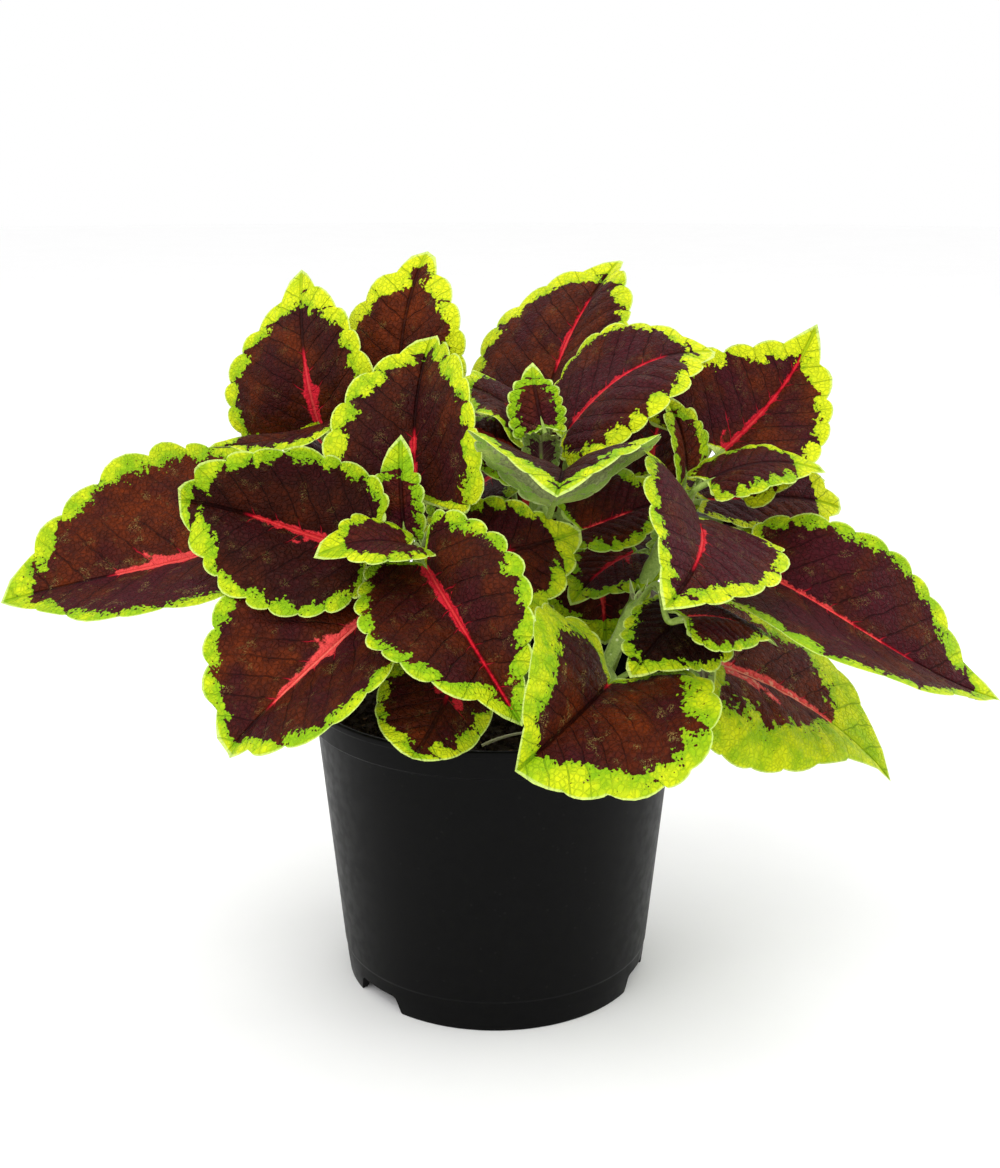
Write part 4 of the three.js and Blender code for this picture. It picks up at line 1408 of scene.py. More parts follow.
@dataclass(frozen=True)
class Soil:
    """Peaty potting soil: a lumpy top with loose crumbs and bark, down to the pot's floor.

    A wave of the surface is a length, a seed and a height. The dish is how far the surface sinks to the
    wall, and where that starts. Bark is long, narrow and flat.
    """

    pot: Pot
    top: float = 107
    waves: tuple[tuple[float, int, float], ...] = ((38, 11, 1), (11, 12, 0.55), (3.4, 13, 0.3))
    relief: float = 0.96
    sag: float = 0.6
    dish: Pair = (1.3, 0.86)
    rings: int = 88
    ring_power: float = 0.8
    segments: int = 250
    skirt_depth: float = 6
    bottom_inset: float = 1
    bottom_from: float = 14
    crumbs: int = 2300
    crumb_sizes: Pair = (0.5, 1.9)
    crumb_power: float = 1.3
    crumb_shapes: Pair = (0.55, 1)
    crumb_seed: int = 41
    wall_room: float = 2.5
    bark_share: float = 0.12
    bark_shapes: tuple[Point, Point] = ((1.6, 0.3, 0.12), (3.4, 0.8, 0.3))
    knocks: float = 0.25
    tilt: float = 0.6
    seat: float = 0.15
    straw_line: tuple[Point, ...] = ((-5, -38, 108), (4, -33, 111.5), (18, -26, 109.5))
    straw_radii: Pair = (0.75, 0.45)
    straw_rise: float = 0.4
    straw_rings: int = 14
    straw_sides: int = 8
    sharp: float = 40

    def heights(self, x: Array, y: Array) -> Array:
        """The lie of the surface: slow swells, lumps the size of a pea and grain, dished at the wall.

        Args:
            x: Places to the right.
            y: Places to the back.

        Returns:
            The height at each place.
        """
        far = np.hypot(x, y) / self.pot.inner_radius(self.top)
        swell = sum(height * Ripple(length, seed).at(x, y) for length, seed, height in self.waves)
        sunk = self.dish[0] * smoothstep(self.dish[1], 1, far)
        return self.top - self.sag + self.relief * swell - sunk

    def surface(self) -> Patch:
        """The closed body: rings from the middle of the top to the wall, then down and under.

        Returns:
            The patch, whose flat coordinates are its places seen from above.
        """
        pot = self.pot
        rim = pot.inner_radius(self.top) - GAP
        skirt = pot.inner_radius(self.top - self.skirt_depth) - GAP
        bottom = pot.inner_radius(self.bottom_from) - self.bottom_inset
        rings = np.linspace(0, 1, self.rings) ** self.ring_power * rim
        radius = np.concatenate([rings, [skirt, bottom, 0]])
        angle = np.linspace(0, CIRCLE, self.segments, endpoint=False)
        x, y = radius[:, None] * np.cos(angle), radius[:, None] * np.sin(angle)
        z = self.heights(x, y)
        z[-3], z[-2:] = self.top - self.skirt_depth, pot.floor_top + GAP
        points = np.stack([x, y, z], axis=-1).reshape(-1, 3)
        triangles = grid_triangles(len(radius), len(angle), ring=True)
        return Patch(points, triangles, points[:, :2] / FLAT_UNIT, SoilCoat.MIX)

    def scattered(self) -> Patch:
        """Loose crumbs and slivers of bark: squashed, turned and knocked-about octahedra on the surface.

        Returns:
            All of them in one patch.
        """
        count = self.crumbs
        chance = np.random.default_rng(self.crumb_seed)
        reach = self.pot.inner_radius(self.top) - self.wall_room
        far = np.sqrt(chance.uniform(0, 1, count)) * reach
        turn = chance.uniform(0, CIRCLE, count)
        x, y = far * np.cos(turn), far * np.sin(turn)
        ball = np.array([[1, 0, 0], [0, 1, 0], [-1, 0, 0], [0, -1, 0], [0, 0, 1], [0, 0, -1]], float)
        upper = np.array([[0, 1, 4], [1, 2, 4], [2, 3, 4], [3, 0, 4]])
        lower = np.array([[1, 0, 5], [2, 1, 5], [3, 2, 5], [0, 3, 5]])
        size = chance.uniform(*self.crumb_sizes, count) ** self.crumb_power
        shape = chance.uniform(*self.crumb_shapes, (count, 1, 3))
        is_bark = chance.uniform(0, 1, count) < self.bark_share
        least, most = ([shape] for shape in self.bark_shapes)
        shape[is_bark] = chance.uniform(least, most, (int(is_bark.sum()), 1, 3))
        bodies = ball * shape * (1 + chance.uniform(-self.knocks, self.knocks, (count, 6, 1)))
        spin = chance.uniform(0, CIRCLE, count)[:, None] * np.ones((1, 6))
        bodies = turn_about(bodies, UP, spin)
        tip = chance.uniform(-self.tilt, self.tilt, count)[:, None] * np.ones((1, 6))
        bodies = turn_about(bodies, RIGHT, tip)
        seat = np.stack([x, y, self.heights(x, y) + size * self.seat], axis=1)
        points = (bodies * size[:, None, None] + seat[:, None]).reshape(-1, 3)
        faces = np.concatenate([upper, lower])
        triangles = (faces[None] + 6 * np.arange(count)[:, None, None]).reshape(-1, 3)
        return Patch(points, triangles, points[:, :2] / FLAT_UNIT, SoilCoat.MIX)

    def straw(self) -> Patch:
        """A thin dry straw that lies on the surface near the front, swept along a slightly bent line.

        Returns:
            The closed tube.
        """
        path, _ = bezier(np.array(self.straw_line, float), np.linspace(0, 1, self.straw_rings))
        path[:, 2] = np.maximum(path[:, 2], self.heights(path[:, 0], path[:, 1]) + self.straw_rise)
        radius = np.linspace(*self.straw_radii, self.straw_rings)
        return swept(path, radius, self.straw_sides, coat=SoilCoat.STRAW)

    def build(self, looks: Looks) -> None:
        """Makes the soil with its crumbs and its straw.

        Args:
            looks: The materials.
        """
        piece = Piece("potting_soil_fill", Slot.SOIL, self.sharp)
        piece.add(self.surface(), self.scattered(), self.straw())
        piece.build([looks.soil, looks.straw], ("potting_soil",))


# ---- materials ----


def linear(colour: Colour) -> tuple[float, float, float, float]:
    """A screen colour as the shaders take it: ((c + 0.055) / 1.055)^2.4 of each share of 255."""
    red, green, blue = (((c / 255 + 0.055) / 1.055) ** 2.4 for c in colour)
    return (red, green, blue, 1.0)


class Graph:
    """A node tree while it is being made. A value is a number, a colour or another node's output."""

    def __init__(self, tree: bpy.types.NodeTree) -> None:
        """Starts from the tree as it is."""
        self.tree = tree

    def feed(self, node: bpy.types.Node, values: dict[Any, Any]) -> None:
        """Sets or links a node's inputs.

        Args:
            node: The node.
            values: What goes into each of its sockets, by name or number.
        """
        for name, value in values.items():
            if isinstance(value, bpy.types.NodeSocket):
                self.tree.links.new(value, node.inputs[name])
            else:
                node.inputs[name].default_value = value

    def put(self, kind: str, values: dict[Any, Any] | None = None, **settings: Any) -> Any:
        """Adds a node.

        Args:
            kind: Blender's name of the node, without ShaderNode.
            values: What goes into its sockets.
            **settings: Its other properties.

        Returns:
            The node.
        """
        node = self.tree.nodes.new(kind if kind.startswith("Node") else f"ShaderNode{kind}")
        for name, setting in settings.items():
            setattr(node, name, setting)
        self.feed(node, values or {})
        return node

    def math(self, operation: str, *values: Any) -> Any:
        """The output of a Math node."""
        return self.put("Math", dict(enumerate(values)), operation=operation).outputs[0]

    def plus(self, first: Any, second: Any) -> Any:
        """The sum of two values."""
        return self.math("ADD", first, second)

    def minus(self, first: Any, second: Any) -> Any:
        """The first value less the second."""
        return self.math("SUBTRACT", first, second)

    def times(self, first: Any, second: Any) -> Any:
        """The product of two values."""
        return self.math("MULTIPLY", first, second)

    def added(self, value: Any, factor: Any, base: Any) -> Any:
        """The base plus the value times the factor."""
        return self.math("MULTIPLY_ADD", value, factor, base)

    def ramp(self, kind: str, value: Any, low: float, high: float, bottom: float, top: float) -> Any:
        """The value carried from low..high to bottom..top, and held outside."""
        values = {"Value": value, "From Min": low, "From Max": high, "To Min": bottom, "To Max": top}
        return self.put("MapRange", values, interpolation_type=kind).outputs[0]

    def ease(self, value: Any, low: float, high: float, bottom: float = 0, top: float = 1) -> Any:
        """The value carried smoothly from low..high to bottom..top, and held outside."""
        return self.ramp("SMOOTHSTEP", value, low, high, bottom, top)

    def scaled(self, value: Any, low: float, high: float, bottom: float = 0, top: float = 1) -> Any:
        """The value carried evenly from low..high to bottom..top, and held outside."""
        return self.ramp("LINEAR", value, low, high, bottom, top)

    def mix(self, share: Any, first: Any, second: Any) -> Any:
        """Two colours blended by a share."""
        return self.put("Mix", {0: share, 6: first, 7: second}, data_type="RGBA").outputs[2]

    def noise(self, vector: Any, scale: Any, detail: float = 2, rough: float = 0.5) -> Any:
        """A noise texture's value."""
        values = {"Vector": vector, "Scale": scale, "Detail": detail, "Roughness": rough}
        return self.put("TexNoise", values).outputs["Fac"]

    def sway(self, vector: Any, scale: float, detail: float, rough: float = 0.5, middle: float = 0.5) -> Any:
        """A noise's value less its middle, so that it runs to both sides of 0."""
        return self.minus(self.noise(vector, scale, detail, rough), middle)

    def attribute(self, name: Field) -> Any:
        """A number that the mesh carries."""
        return self.put("Attribute", attribute_name=name.value).outputs["Fac"]

    def stretched(self, vector: Any, factor: Any) -> Any:
        """A vector or a colour times a number."""
        return self.put("VectorMath", {0: vector, "Scale": factor}, operation="SCALE").outputs[0]

    def millimetres(self) -> Any:
        """The flat coordinates of a piece in millimetres."""
        return self.stretched(self.put("UVMap", uv_map="flat").outputs["UV"], FLAT_UNIT)

    def place(self) -> Any:
        """The place on the object in millimetres."""
        return self.stretched(self.put("TexCoord").outputs["Object"], 1 / MM)

    def effect(self, group: bpy.types.NodeTree, **values: Any) -> Any:
        """Puts a shared effect into this tree."""
        return self.put("Group", values, node_tree=group).outputs


@dataclass(frozen=True)
class Effect:
    """An effect that several materials share, as a node group: its name and sockets, and its nodes.

    Scales are counts in a millimetre. Each pair is a low and a high end.
    """

    name: str = ""
    takes: tuple[str, ...] = ()

    def tree(self) -> bpy.types.NodeTree:
        """Builds the group. Its vector input is its first, and the others are numbers.

        Returns:
            The node group.
        """
        tree = bpy.data.node_groups.new(self.name, "ShaderNodeTree")
        for number, socket in enumerate(self.takes):
            kind = "NodeSocketFloat" if number else "NodeSocketVector"
            tree.interface.new_socket(socket, in_out="INPUT", socket_type=kind)
        graph = Graph(tree)
        given = self.nodes(graph, graph.put("NodeGroupInput").outputs)
        for socket in given:
            tree.interface.new_socket(socket, in_out="OUTPUT", socket_type="NodeSocketFloat")
        graph.put("NodeGroupOutput", given)
        return tree

    def nodes(self, graph: Graph, taken: Any) -> dict[str, Any]:
        """Adds the effect's nodes between the group's inputs and what each of its outputs gives."""
        raise NotImplementedError


@dataclass(frozen=True)
class Grain(Effect):
    """Fine uneven grain: a noise of five octaves, and a slow blotch six times its size."""

    name: str = "Grain"
    takes: tuple[str, ...] = ("Vector", "Size")
    detail: Pair = (5, 0.6)
    blotch: float = 6.0

    def nodes(self, graph: Graph, taken: Any) -> dict[str, Any]:
        """Adds both noises, at one over the size and a sixth of that.

        Args:
            graph: The group's graph.
            taken: Its inputs.

        Returns:
            The fine grain and the blotch, from 0 to 1.
        """
        scale = graph.math("DIVIDE", 1.0, taken["Size"])
        fine = graph.noise(taken["Vector"], scale, *self.detail)
        slow = graph.noise(taken["Vector"], graph.math("DIVIDE", scale, self.blotch))
        return {"Fine": fine, "Blotch": slow}


@dataclass(frozen=True)
class LimeEdge(Effect):
    """The green border of a leaf.

    The border is as wide as the band in the middle of a scallop and nearly nothing at a notch. A slow
    wobble, prongs and small teeth shift its inner line. Dark dots lie along that line and thin out to the
    margin, and a narrow rim runs along the margin. Wobble, prongs and teeth are a scale and a reach.
    """

    name: str = "Lime Edge"
    takes: tuple[str, ...] = ("Flat", "Edge", "Band", "Bay", "Speckle")
    bay_power: float = 0.4
    notch_scale: float = 0.11
    notch: Ramp = (0.46, 0.64, -0.3, 0.75)
    wide_bands: Pair = (6, 13)
    most_notch: float = 0.95
    full_width: float = 1.14
    wobble: Pair = (0.24, 1.1)
    prongs: Pair = (0.62, 6.5)
    teeth: Pair = (1.05, 3.2)
    edge_fade: Pair = (-0.12, 0.22)
    dot_scale: float = 0.62
    dot_fray: float = 0.5
    dot_sizes: Ramp = (0, 7, 0.4, 0.02)
    dot_power: float = 0.6
    dot_fade: Pair = (-0.04, 0.06)
    rim_fade: Ramp = (0.2, 0.75, 1, 0)

    def nodes(self, graph: Graph, taken: Any) -> dict[str, Any]:
        """Adds the border: lime where its frayed width is more than the distance from the margin.

        Args:
            graph: The group's graph.
            taken: Its inputs.

        Returns:
            The lime and rim masks, and the depth inside the border in millimetres.
        """
        flat, band = taken["Flat"], taken["Band"]
        bay = graph.math("POWER", taken["Bay"], self.bay_power)
        notch = graph.scaled(graph.noise(flat, self.notch_scale, 1), *self.notch)
        notch = graph.plus(notch, graph.ease(band, *self.wide_bands))
        notch = graph.math("MINIMUM", notch, self.most_notch)
        span = graph.minus(self.full_width, notch)
        wide = graph.times(band, graph.added(bay, span, notch))
        wobble, prongs, teeth = (graph.sway(flat, k[0], 1) for k in (self.wobble, self.prongs, self.teeth))
        limit = graph.added(wobble, graph.times(band, self.wobble[1]), wide)
        limit = graph.added(prongs, self.prongs[1], limit)
        limit = graph.added(teeth, self.teeth[1], limit)
        depth = graph.minus(limit, taken["Edge"])
        dots = graph.put("TexVoronoi", {"Vector": flat, "Scale": self.dot_scale, "Randomness": 1.0})
        spot = graph.plus(dots.outputs["Distance"], graph.times(teeth, self.dot_fray))
        size = graph.math("POWER", taken["Speckle"], self.dot_power)
        size = graph.times(graph.scaled(depth, *self.dot_sizes), size)
        dark = graph.ease(graph.minus(size, spot), *self.dot_fade)
        lime = graph.times(graph.ease(depth, *self.edge_fade), graph.minus(1.0, dark))
        return {"Lime": lime, "Rim": graph.ease(taken["Edge"], *self.rim_fade), "Depth": depth}


@dataclass(frozen=True)
class LeafNet(Effect):
    """The veins of a leaf: side veins where the vein count is whole, and a net of fine cells between."""

    name: str = "Leaf Net"
    takes: tuple[str, ...] = ("Flat", "Vein", "Rib")
    shake_scale: float = 0.16
    shake: float = 0.35
    vein_fade: Ramp = (0.02, 0.16, 1, 0)
    outer_fade: Ramp = (12, 34, 1, 0.35)
    cell_scale: float = 0.5
    cell_fade: Ramp = (0.02, 0.14, 1, 0)
    cell_depth: float = 0.4
    midrib_fade: Ramp = (0.35, 1.1, 1, 0)

    def nodes(self, graph: Graph, taken: Any) -> dict[str, Any]:
        """Adds the veins, where |sin| of the shaken count is near 0, and the cells' edges.

        Args:
            graph: The group's graph.
            taken: Its inputs.

        Returns:
            The vein and net masks, and the height: 1 on a cushion between veins and 0 in a vein.
        """
        flat, rib = taken["Flat"], taken["Rib"]
        count = graph.added(graph.sway(flat, self.shake_scale, 2), self.shake, taken["Vein"])
        wave = graph.math("ABSOLUTE", graph.math("SINE", graph.times(count, math.pi)))
        side = graph.times(graph.ease(wave, *self.vein_fade), graph.ease(rib, *self.outer_fade))
        values = {"Vector": flat, "Scale": self.cell_scale}
        cells = graph.put("TexVoronoi", values, feature="DISTANCE_TO_EDGE")
        net = graph.ease(cells.outputs["Distance"], *self.cell_fade)
        vein = graph.math("MAXIMUM", side, graph.ease(rib, *self.midrib_fade))
        sunk = graph.math("MAXIMUM", graph.times(net, self.cell_depth), vein)
        return {"Vein": vein, "Net": net, "Height": graph.minus(1.0, sunk)}


@dataclass(frozen=True)
class Streak(Effect):
    """A red streak with knots and a frayed side, each a scale and a reach."""

    name: str = "Streak"
    takes: tuple[str, ...] = ("Flat", "Red")
    knots: Pair = (0.22, 3.2)
    knot_middle: float = 0.53
    fray: Pair = (0.9, 2.6)
    fray_detail: Pair = (3, 0.6)
    side_fade: Pair = (-0.35, 0.45)
    core_fade: Pair = (0.3, 1.8)

    def nodes(self, graph: Graph, taken: Any) -> dict[str, Any]:
        """Adds the streak: where its depth plus two noises is above 0.

        Args:
            graph: The group's graph.
            taken: Its inputs.

        Returns:
            The streak's mask, and its core, which is 1 well inside it.
        """
        knots = graph.sway(taken["Flat"], self.knots[0], 1, middle=self.knot_middle)
        fray = graph.sway(taken["Flat"], self.fray[0], *self.fray_detail)
        depth = graph.added(fray, self.fray[1], graph.added(knots, self.knots[1], taken["Red"]))
        return {"Mask": graph.ease(depth, *self.side_fade), "Core": graph.ease(depth, *self.core_fade)}


Effects = dict[type[Effect], bpy.types.NodeTree]


class Finish:
    """What all finishes share: a name, a span of grain and its roughness, a bump and a gloss."""

    name: str
    grain_span: Pair
    roughness: Pair
    relief: float
    depth: float
    specular: float

    def blank(self) -> tuple[bpy.types.Material, Graph]:
        """A new material and its graph, which holds a Principled shader."""
        material = bpy.data.materials.new(self.name)
        material.use_nodes = True
        return material, Graph(material.node_tree)

    def surface(self, graph: Graph, colour: Any, blotch: Any, height: Any) -> None:
        """Joins a colour, a roughness that goes by the blotch, and a bump to the material's shader.

        Args:
            graph: The material's graph.
            colour: Its colour.
            blotch: Slow blotches.
            height: The bump's height.
        """
        bump = graph.put("Bump", {"Strength": self.relief, "Distance": self.depth, "Height": height})
        values = {
            "Base Color": colour,
            "Roughness": graph.ease(blotch, *self.grain_span, *self.roughness),
            "Normal": bump.outputs["Normal"],
            "Specular IOR Level": self.specular,
        }
        graph.feed(graph.tree.nodes["Principled BSDF"], values)


@dataclass(frozen=True)
class LeafFinish(Finish):
    """One face of the leaves: dark blade, red streaks and lime border.

    Scales are counts in a millimetre. Heights are for the bump, and its depth is in metres.
    """

    name: str
    brown: Colour = (56, 16, 5)
    # plum: the blade's own tone and a painted sheen in one colour
    plum_and_sheen: Colour = (72, 15, 24)
    # red-brown: the blade's own tone and painted light shining through the leaf in one colour
    rust: Colour = (112, 42, 4)
    deep: Colour = (16, 6, 7)
    crimson: Colour = (214, 20, 48)
    coral: Colour = (246, 88, 82)
    blush: Colour = (248, 186, 152)
    green: Colour = (144, 190, 16)
    yellow: Colour = (222, 232, 24)
    vein_green: Colour = (96, 150, 22)
    rim: Colour = (214, 238, 132)
    fleck: Colour = (176, 158, 88)
    roughness: Pair = (0.42, 0.6)
    relief: float = 0.8
    specular: float = 0.09
    grain_sizes: Pair = (1.6, 0.5)
    grain_span: Pair = (0.3, 0.7)
    patch_scale: float = 0.055
    patches: Ramp = (0.3, 0.7, -0.34, 0.34)
    red_brown_backlight_off_patch: float = 1.1
    red_brown_backlight_span: Pair = (0.05, 1)
    red_brown_backlight_blotch: Ramp = (0.3, 0.7, 0.35, 1)
    dim: Ramp = (0.25, 0.75, 0.62, 1.25)
    net_dimming: float = 0.25
    vein_share: float = 0.55
    flush: Ramp = (-4, -0.5, 0, 0.6)
    fleck_scale: float = 0.8
    fleck_line: Ramp = (0.004, 0.018, 1, 0)
    fleck_group_scale: float = 0.14
    fleck_group: Pair = (0.56, 0.68)
    red_grain: Pair = (0.4, 0.75)
    red_grain_share: float = 0.35
    pale_rib: Ramp = (0.15, 0.9, 0.75, 0)
    pale_coral: Ramp = (0.85, 1, 0.12, 1)
    cream_scale: float = 0.35
    cream_span: Pair = (0.5, 0.6)
    cream_coral: Ramp = (0.9, 1, 0, 0.85)
    tone_blotch: Ramp = (0.3, 0.7, -0.3, 0.3)
    tone_depth: Ramp = (0, 6, -0.25, 0.2)
    line_share: float = 0.5
    inner_line: Ramp = (0, 1.3, 0.45, 0)
    rim_share: float = 0.8
    grain_height: float = 0.3
    lump_scale: float = 0.42
    lump_height: float = 1.5
    depth: float = 0.0008

    def blade(self, graph: Graph, flat: Any, net: Any, grain: Any) -> Any:
        """The dark blade: brown to plum in slow patches, the plum partly a painted sheen; red-brown (rust)
        that is partly painted light shining through the leaf; all of it darkened by the leaf's painted shade
        number; dark veins flushed red; and pale flecks.

        Args:
            graph: The material's graph.
            flat: Flat coordinates in millimetres.
            net: The veins.
            grain: The grain.

        Returns:
            The colour.
        """
        number = graph.attribute
        patch = graph.ease(graph.noise(flat, self.patch_scale, 3), *self.patches)
        # plum share: partly the blade's own tone, partly a painted sheen
        plum_and_sheen = graph.plus(number(Field.PURPLE_AND_SHEEN), patch)
        colour = graph.mix(graph.ease(plum_and_sheen, 0, 1), linear(self.brown), linear(self.plum_and_sheen))
        # red-brown share: partly the blade's own tone in blotches, partly painted light shining through the
        # leaf
        red_brown_backlight_share = graph.minus(number(Field.RED_BROWN_AND_BACKLIGHT), graph.times(patch, self.red_brown_backlight_off_patch))
        red_brown_backlight_share = graph.times(graph.ease(red_brown_backlight_share, *self.red_brown_backlight_span), graph.ease(grain["Blotch"], *self.red_brown_backlight_blotch))
        colour = graph.mix(red_brown_backlight_share, colour, linear(self.rust))
        dim = graph.ease(grain["Fine"], *self.dim)
        dim = graph.times(dim, graph.added(net["Net"], -self.net_dimming, 1.0))
        # painted shade: the leaf's shade number darkens the whole dark blade
        colour = graph.stretched(colour, graph.times(dim, number(Field.PAINTED_SHADE)))
        colour = graph.mix(graph.times(net["Vein"], self.vein_share), colour, linear(self.deep))
        flush = graph.times(net["Vein"], graph.ease(number(Field.RED), *self.flush))
        colour = graph.mix(flush, colour, linear(self.crimson))
        line = graph.math("ABSOLUTE", graph.sway(flat, self.fleck_scale, 3, 0.6))
        group = graph.ease(graph.noise(flat, self.fleck_group_scale), *self.fleck_group)
        fleck = graph.times(graph.ease(line, *self.fleck_line), group)
        fleck = graph.times(fleck, number(Field.SPECKLE))
        return graph.mix(fleck, colour, linear(self.fleck))

    def red(self, graph: Graph, flat: Any, grain: Any, core: Any) -> Any:
        """The red of the streaks: crimson to coral, grainy, and paler in the middle of coral leaves.

        Args:
            graph: The material's graph.
            flat: Flat coordinates in millimetres.
            grain: The grain.
            core: 1 well inside a streak.

        Returns:
            The colour.
        """
        number = graph.attribute
        red = graph.mix(number(Field.CORAL), linear(self.crimson), linear(self.coral))
        grains = graph.times(graph.ease(grain["Fine"], *self.red_grain), self.red_grain_share)
        red = graph.mix(grains, red, linear(self.crimson))
        pale = graph.times(core, graph.ease(number(Field.RIB), *self.pale_rib))
        pale = graph.times(pale, graph.ease(number(Field.CORAL), *self.pale_coral))
        cream = graph.times(graph.ease(graph.noise(flat, self.cream_scale), *self.cream_span), core)
        cream = graph.times(cream, graph.ease(number(Field.CORAL), *self.cream_coral))
        return graph.mix(graph.math("MAXIMUM", pale, cream), red, linear(self.blush))

    def lime(self, graph: Graph, net: Any, grain: Any, depth: Any) -> Any:
        """The colour of the border: green to yellow by depth and blotch, with green lines.

        Args:
            graph: The material's graph.
            net: The veins.
            grain: The grain.
            depth: Millimetres inside the border.

        Returns:
            The colour.
        """
        tone = graph.plus(graph.attribute(Field.YELLOW), graph.ease(grain["Blotch"], *self.tone_blotch))
        tone = graph.plus(tone, graph.scaled(depth, *self.tone_depth))
        lime = graph.mix(graph.ease(tone, 0, 1), linear(self.green), linear(self.yellow))
        lines = graph.math("MAXIMUM", graph.times(net["Net"], self.line_share), net["Vein"])
        lime = graph.mix(graph.times(lines, self.line_share), lime, linear(self.vein_green))
        return graph.mix(graph.ease(depth, *self.inner_line), lime, linear(self.vein_green))

    def make(self, effects: Effects) -> bpy.types.Material:
        """Builds the material: the dark blade, the streaks over it, the border and the rim.

        Args:
            effects: The shared effects.

        Returns:
            The material.
        """
        material, graph = self.blank()
        flat, number = graph.millimetres(), graph.attribute
        net = graph.effect(effects[LeafNet], Flat=flat, Vein=number(Field.VEIN), Rib=number(Field.RIB))
        grain, fine = (graph.effect(effects[Grain], Vector=flat, Size=size) for size in self.grain_sizes)
        streak = graph.effect(effects[Streak], Flat=flat, Red=number(Field.RED))
        edge = graph.effect(
            effects[LimeEdge], Flat=flat, Edge=number(Field.EDGE), Band=number(Field.BAND),
            Bay=number(Field.BAY), Speckle=number(Field.SPECKLE),
        )
        colour = self.blade(graph, flat, net, grain)
        colour = graph.mix(streak["Mask"], colour, self.red(graph, flat, grain, streak["Core"]))
        colour = graph.mix(edge["Lime"], colour, self.lime(graph, net, grain, edge["Depth"]))
        colour = graph.mix(graph.times(edge["Rim"], self.rim_share), colour, linear(self.rim))
        height = graph.added(fine["Fine"], self.grain_height, net["Height"])
        height = graph.added(graph.noise(flat, self.lump_scale, 3), self.lump_height, height)
        self.surface(graph, colour, fine["Blotch"], height)
        return material


@dataclass(frozen=True)
class PlainFinish(Finish):
    """A finish of one mottled colour with speckles: stalks, soil, plastic and the floor.

    The size is that of the grain in millimetres, and the depth that of the bump in metres.
    """

    name: str
    dark: Colour
    light: Colour
    speck: Colour
    size: float
    speck_share: float
    roughness: Pair
    relief: float
    depth: float
    specular: float = 0.5
    rides_flat: bool = False
    grain_span: Pair = (0.3, 0.7)
    fine_share: Ramp = (0.3, 0.7, 0, 0.6)
    blotch_share: Ramp = (0.3, 0.7, 0, 0.4)
    speck_scale: float = 0.45
    speck_size: Ramp = (0.2, 0.4, 1, 0)
    speck_height: float = 0.5

    def make(self, effects: Effects) -> bpy.types.Material:
        """Builds the material: two tones by blotch and grain, specks in some cells of a cell noise, a bump.

        Args:
            effects: The shared effects.

        Returns:
            The material.
        """
        material, graph = self.blank()
        place = graph.millimetres() if self.rides_flat else graph.place()
        grain = graph.effect(effects[Grain], Vector=place, Size=self.size)
        fine = graph.ease(grain["Fine"], *self.fine_share)
        blotch = graph.ease(grain["Blotch"], *self.blotch_share)
        colour = graph.mix(graph.plus(fine, blotch), linear(self.dark), linear(self.light))
        values = {"Vector": place, "Scale": self.speck_scale / self.size, "Randomness": 1.0}
        cells = graph.put("TexVoronoi", values).outputs
        chance = graph.put("SeparateColor", {"Color": cells["Color"]}).outputs[0]
        some = graph.math("LESS_THAN", chance, self.speck_share)
        speck = graph.times(some, graph.ease(cells["Distance"], *self.speck_size))
        colour = graph.mix(speck, colour, linear(self.speck))
        height = graph.plus(grain["Fine"], graph.times(speck, self.speck_height))
        self.surface(graph, colour, grain["Blotch"], height)
        return material


UPPER_FACE = LeafFinish("leaf_upper_face")
UNDERSIDE = LeafFinish(
    "leaf_underside",
    # the underside's plum and red-brown are likewise partly painted sheen and partly painted light shining
    # through the leaf
    brown=(172, 184, 122), plum_and_sheen=(92, 46, 56), rust=(128, 104, 66), deep=(176, 182, 124),
    crimson=(184, 150, 112), coral=(196, 160, 120), blush=(206, 190, 150),
    green=(142, 184, 72), yellow=(186, 204, 104), vein_green=(176, 198, 120),
    rim=(206, 222, 150), fleck=(140, 140, 88), roughness=(0.55, 0.7), relief=0.7,
)
STALK_SKIN = PlainFinish(
    "pale_green_stalk", (112, 142, 44), (170, 194, 92), (214, 226, 160),
    0.9, 0.12, roughness=(0.45, 0.6), relief=0.35, depth=0.0002, specular=0.35, rides_flat=True,
)
DRY_STRAW = PlainFinish(
    "pale_dry_straw", (236, 228, 190), (252, 250, 232), (220, 206, 160),
    0.7, 0.1, roughness=(0.6, 0.75), relief=0.3, depth=0.0001, specular=0.3, rides_flat=True,
)
POTTING_MIX = PlainFinish(
    "potting_soil", (20, 14, 11), (58, 42, 32), (104, 78, 54),
    1.3, 0.06, roughness=(0.85, 0.98), relief=0.9, depth=0.0009, specular=0.2,
)
BLACK_PLASTIC = PlainFinish(
    "satin_black_plastic", (7, 7, 7), (12, 12, 12), (20, 20, 19),
    0.8, 0.04, roughness=(0.36, 0.46), relief=0.12, depth=0.00006, specular=0.06,
)
PALE_FLOOR = PlainFinish(
    "plain_pale_floor", (252, 252, 252), (254, 254, 254), (252, 252, 252),
    30, 0, roughness=(0.8, 0.9), relief=0, depth=0.0001, specular=0.1,
)


class Looks:
    """All the materials of the object and its floor."""

    def __init__(self) -> None:
        """Builds the shared effects and then each finish."""
        effects = {kind: kind().tree() for kind in (Grain, LimeEdge, LeafNet, Streak)}
        self.upper = UPPER_FACE.make(effects)
        self.under = UNDERSIDE.make(effects)
        self.stalk = STALK_SKIN.make(effects)
        self.straw = DRY_STRAW.make(effects)
        self.soil = POTTING_MIX.make(effects)
        self.pot = BLACK_PLASTIC.make(effects)
        self.floor = PALE_FLOOR.make(effects)


# ---- studio ----


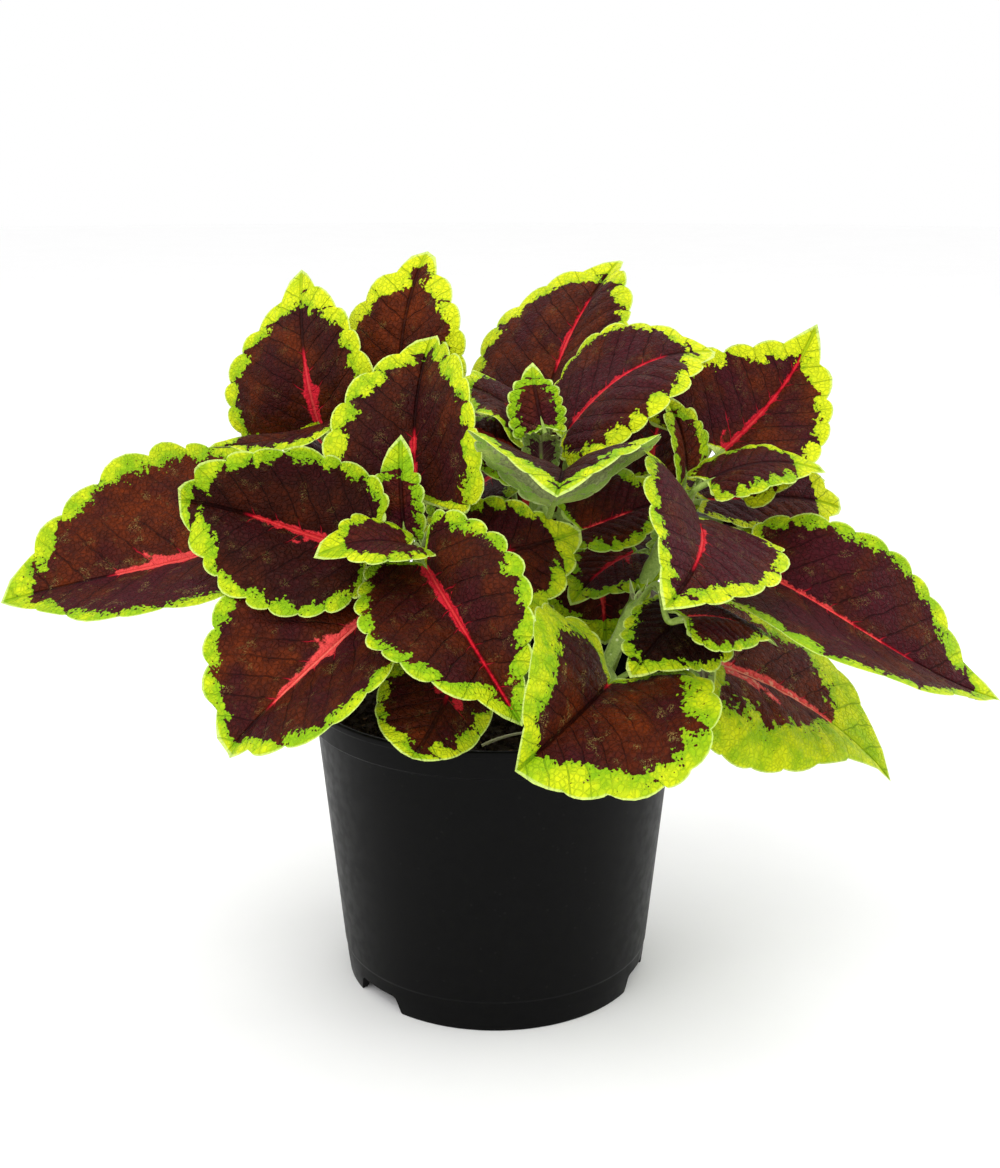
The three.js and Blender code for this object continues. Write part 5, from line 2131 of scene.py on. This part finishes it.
@dataclass(frozen=True)
class Lamp:
    """A square soft light. Its place, its side and what it faces are in metres, its power in watts."""

    name: str
    at: Point
    size: float
    power: float
    aim: Point = (0, 0, 0.15)

    def build(self) -> None:
        """Adds the light, turned to what it faces."""
        data = bpy.data.lights.new(self.name, "AREA")
        data.energy, data.size = self.power, self.size
        lamp = placed(self.name, data)
        lamp.location = self.at
        toward = Vector(self.aim) - Vector(self.at)
        lamp.rotation_euler = toward.to_track_quat("-Z", "Y").to_euler()


@dataclass(frozen=True)
class Studio:
    """A pale floor, soft lights and the camera.

    The lens, the sensor and the floor's drop are in millimetres, and the other lengths in metres.
    """

    lens: float = 49.52
    sensor: float = 36
    clip_end: float = 50
    camera_at: Point = (0.00183, -0.60856, 0.33021)
    tilt: float = 15.522
    floor_reach: float = 6.0
    floor_drop: float = 0.02
    floor_segments: int = 96
    sky: float = 1.0
    lamps: tuple[Lamp, ...] = (
        Lamp("key", (-0.7, -0.9, 1.7), 1.5, 16),
        Lamp("fill", (1.5, 0.25, 0.65), 1.2, 7),
        Lamp("back", (0.3, 1.3, 1.5), 1.4, 4),
    )

    def build(self, looks: Looks) -> None:
        """Sets up everything around the object.

        Args:
            looks: The materials.
        """
        self.floor(looks)
        self.camera()
        self.world()
        for lamp in self.lamps:
            lamp.build()

    def floor(self, looks: Looks) -> None:
        """A round floor about the origin, a hair below the pot's foot.

        Args:
            looks: The materials.
        """
        line = np.array([[0.0, -self.floor_drop], [self.floor_reach / MM, -self.floor_drop]])
        mesh = turned(line, self.floor_segments).turned_over().mesh("floor")
        mesh.materials.append(looks.floor)
        placed("floor", mesh)

    def camera(self) -> None:
        """The camera, which looks level to the back and then down by the tilt."""
        data = bpy.data.cameras.new("camera")
        data.lens, data.sensor_width, data.clip_end = self.lens, self.sensor, self.clip_end
        camera = placed("camera", data)
        camera.location = self.camera_at
        camera.rotation_euler = (math.radians(90 - self.tilt), 0, 0)
        bpy.context.scene.camera = camera

    def world(self) -> None:
        """An even white sky, shown as it is."""
        scene = bpy.context.scene
        world = bpy.data.worlds.new("white sky")
        world.use_nodes = True
        Graph(world.node_tree).feed(
            world.node_tree.nodes["Background"], {"Color": (1, 1, 1, 1), "Strength": self.sky}
        )
        scene.world = world
        scene.view_settings.view_transform = "Standard"
        scene.view_settings.look = "None"


def main() -> None:
    """Loads the frame, builds the plant, its pot and the studio."""
    logging.basicConfig(level=logging.INFO, format="%(message)s")
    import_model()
    looks = Looks()
    Studio().build(looks)
    pot = Pot()
    pot.build(looks)
    Soil(pot).build(looks)
    for stem in STEMS:
        stem.build(looks)
        Foliage(stem, LEAVES[stem.name]).build(looks)


if __name__ == "__main__":
    main()
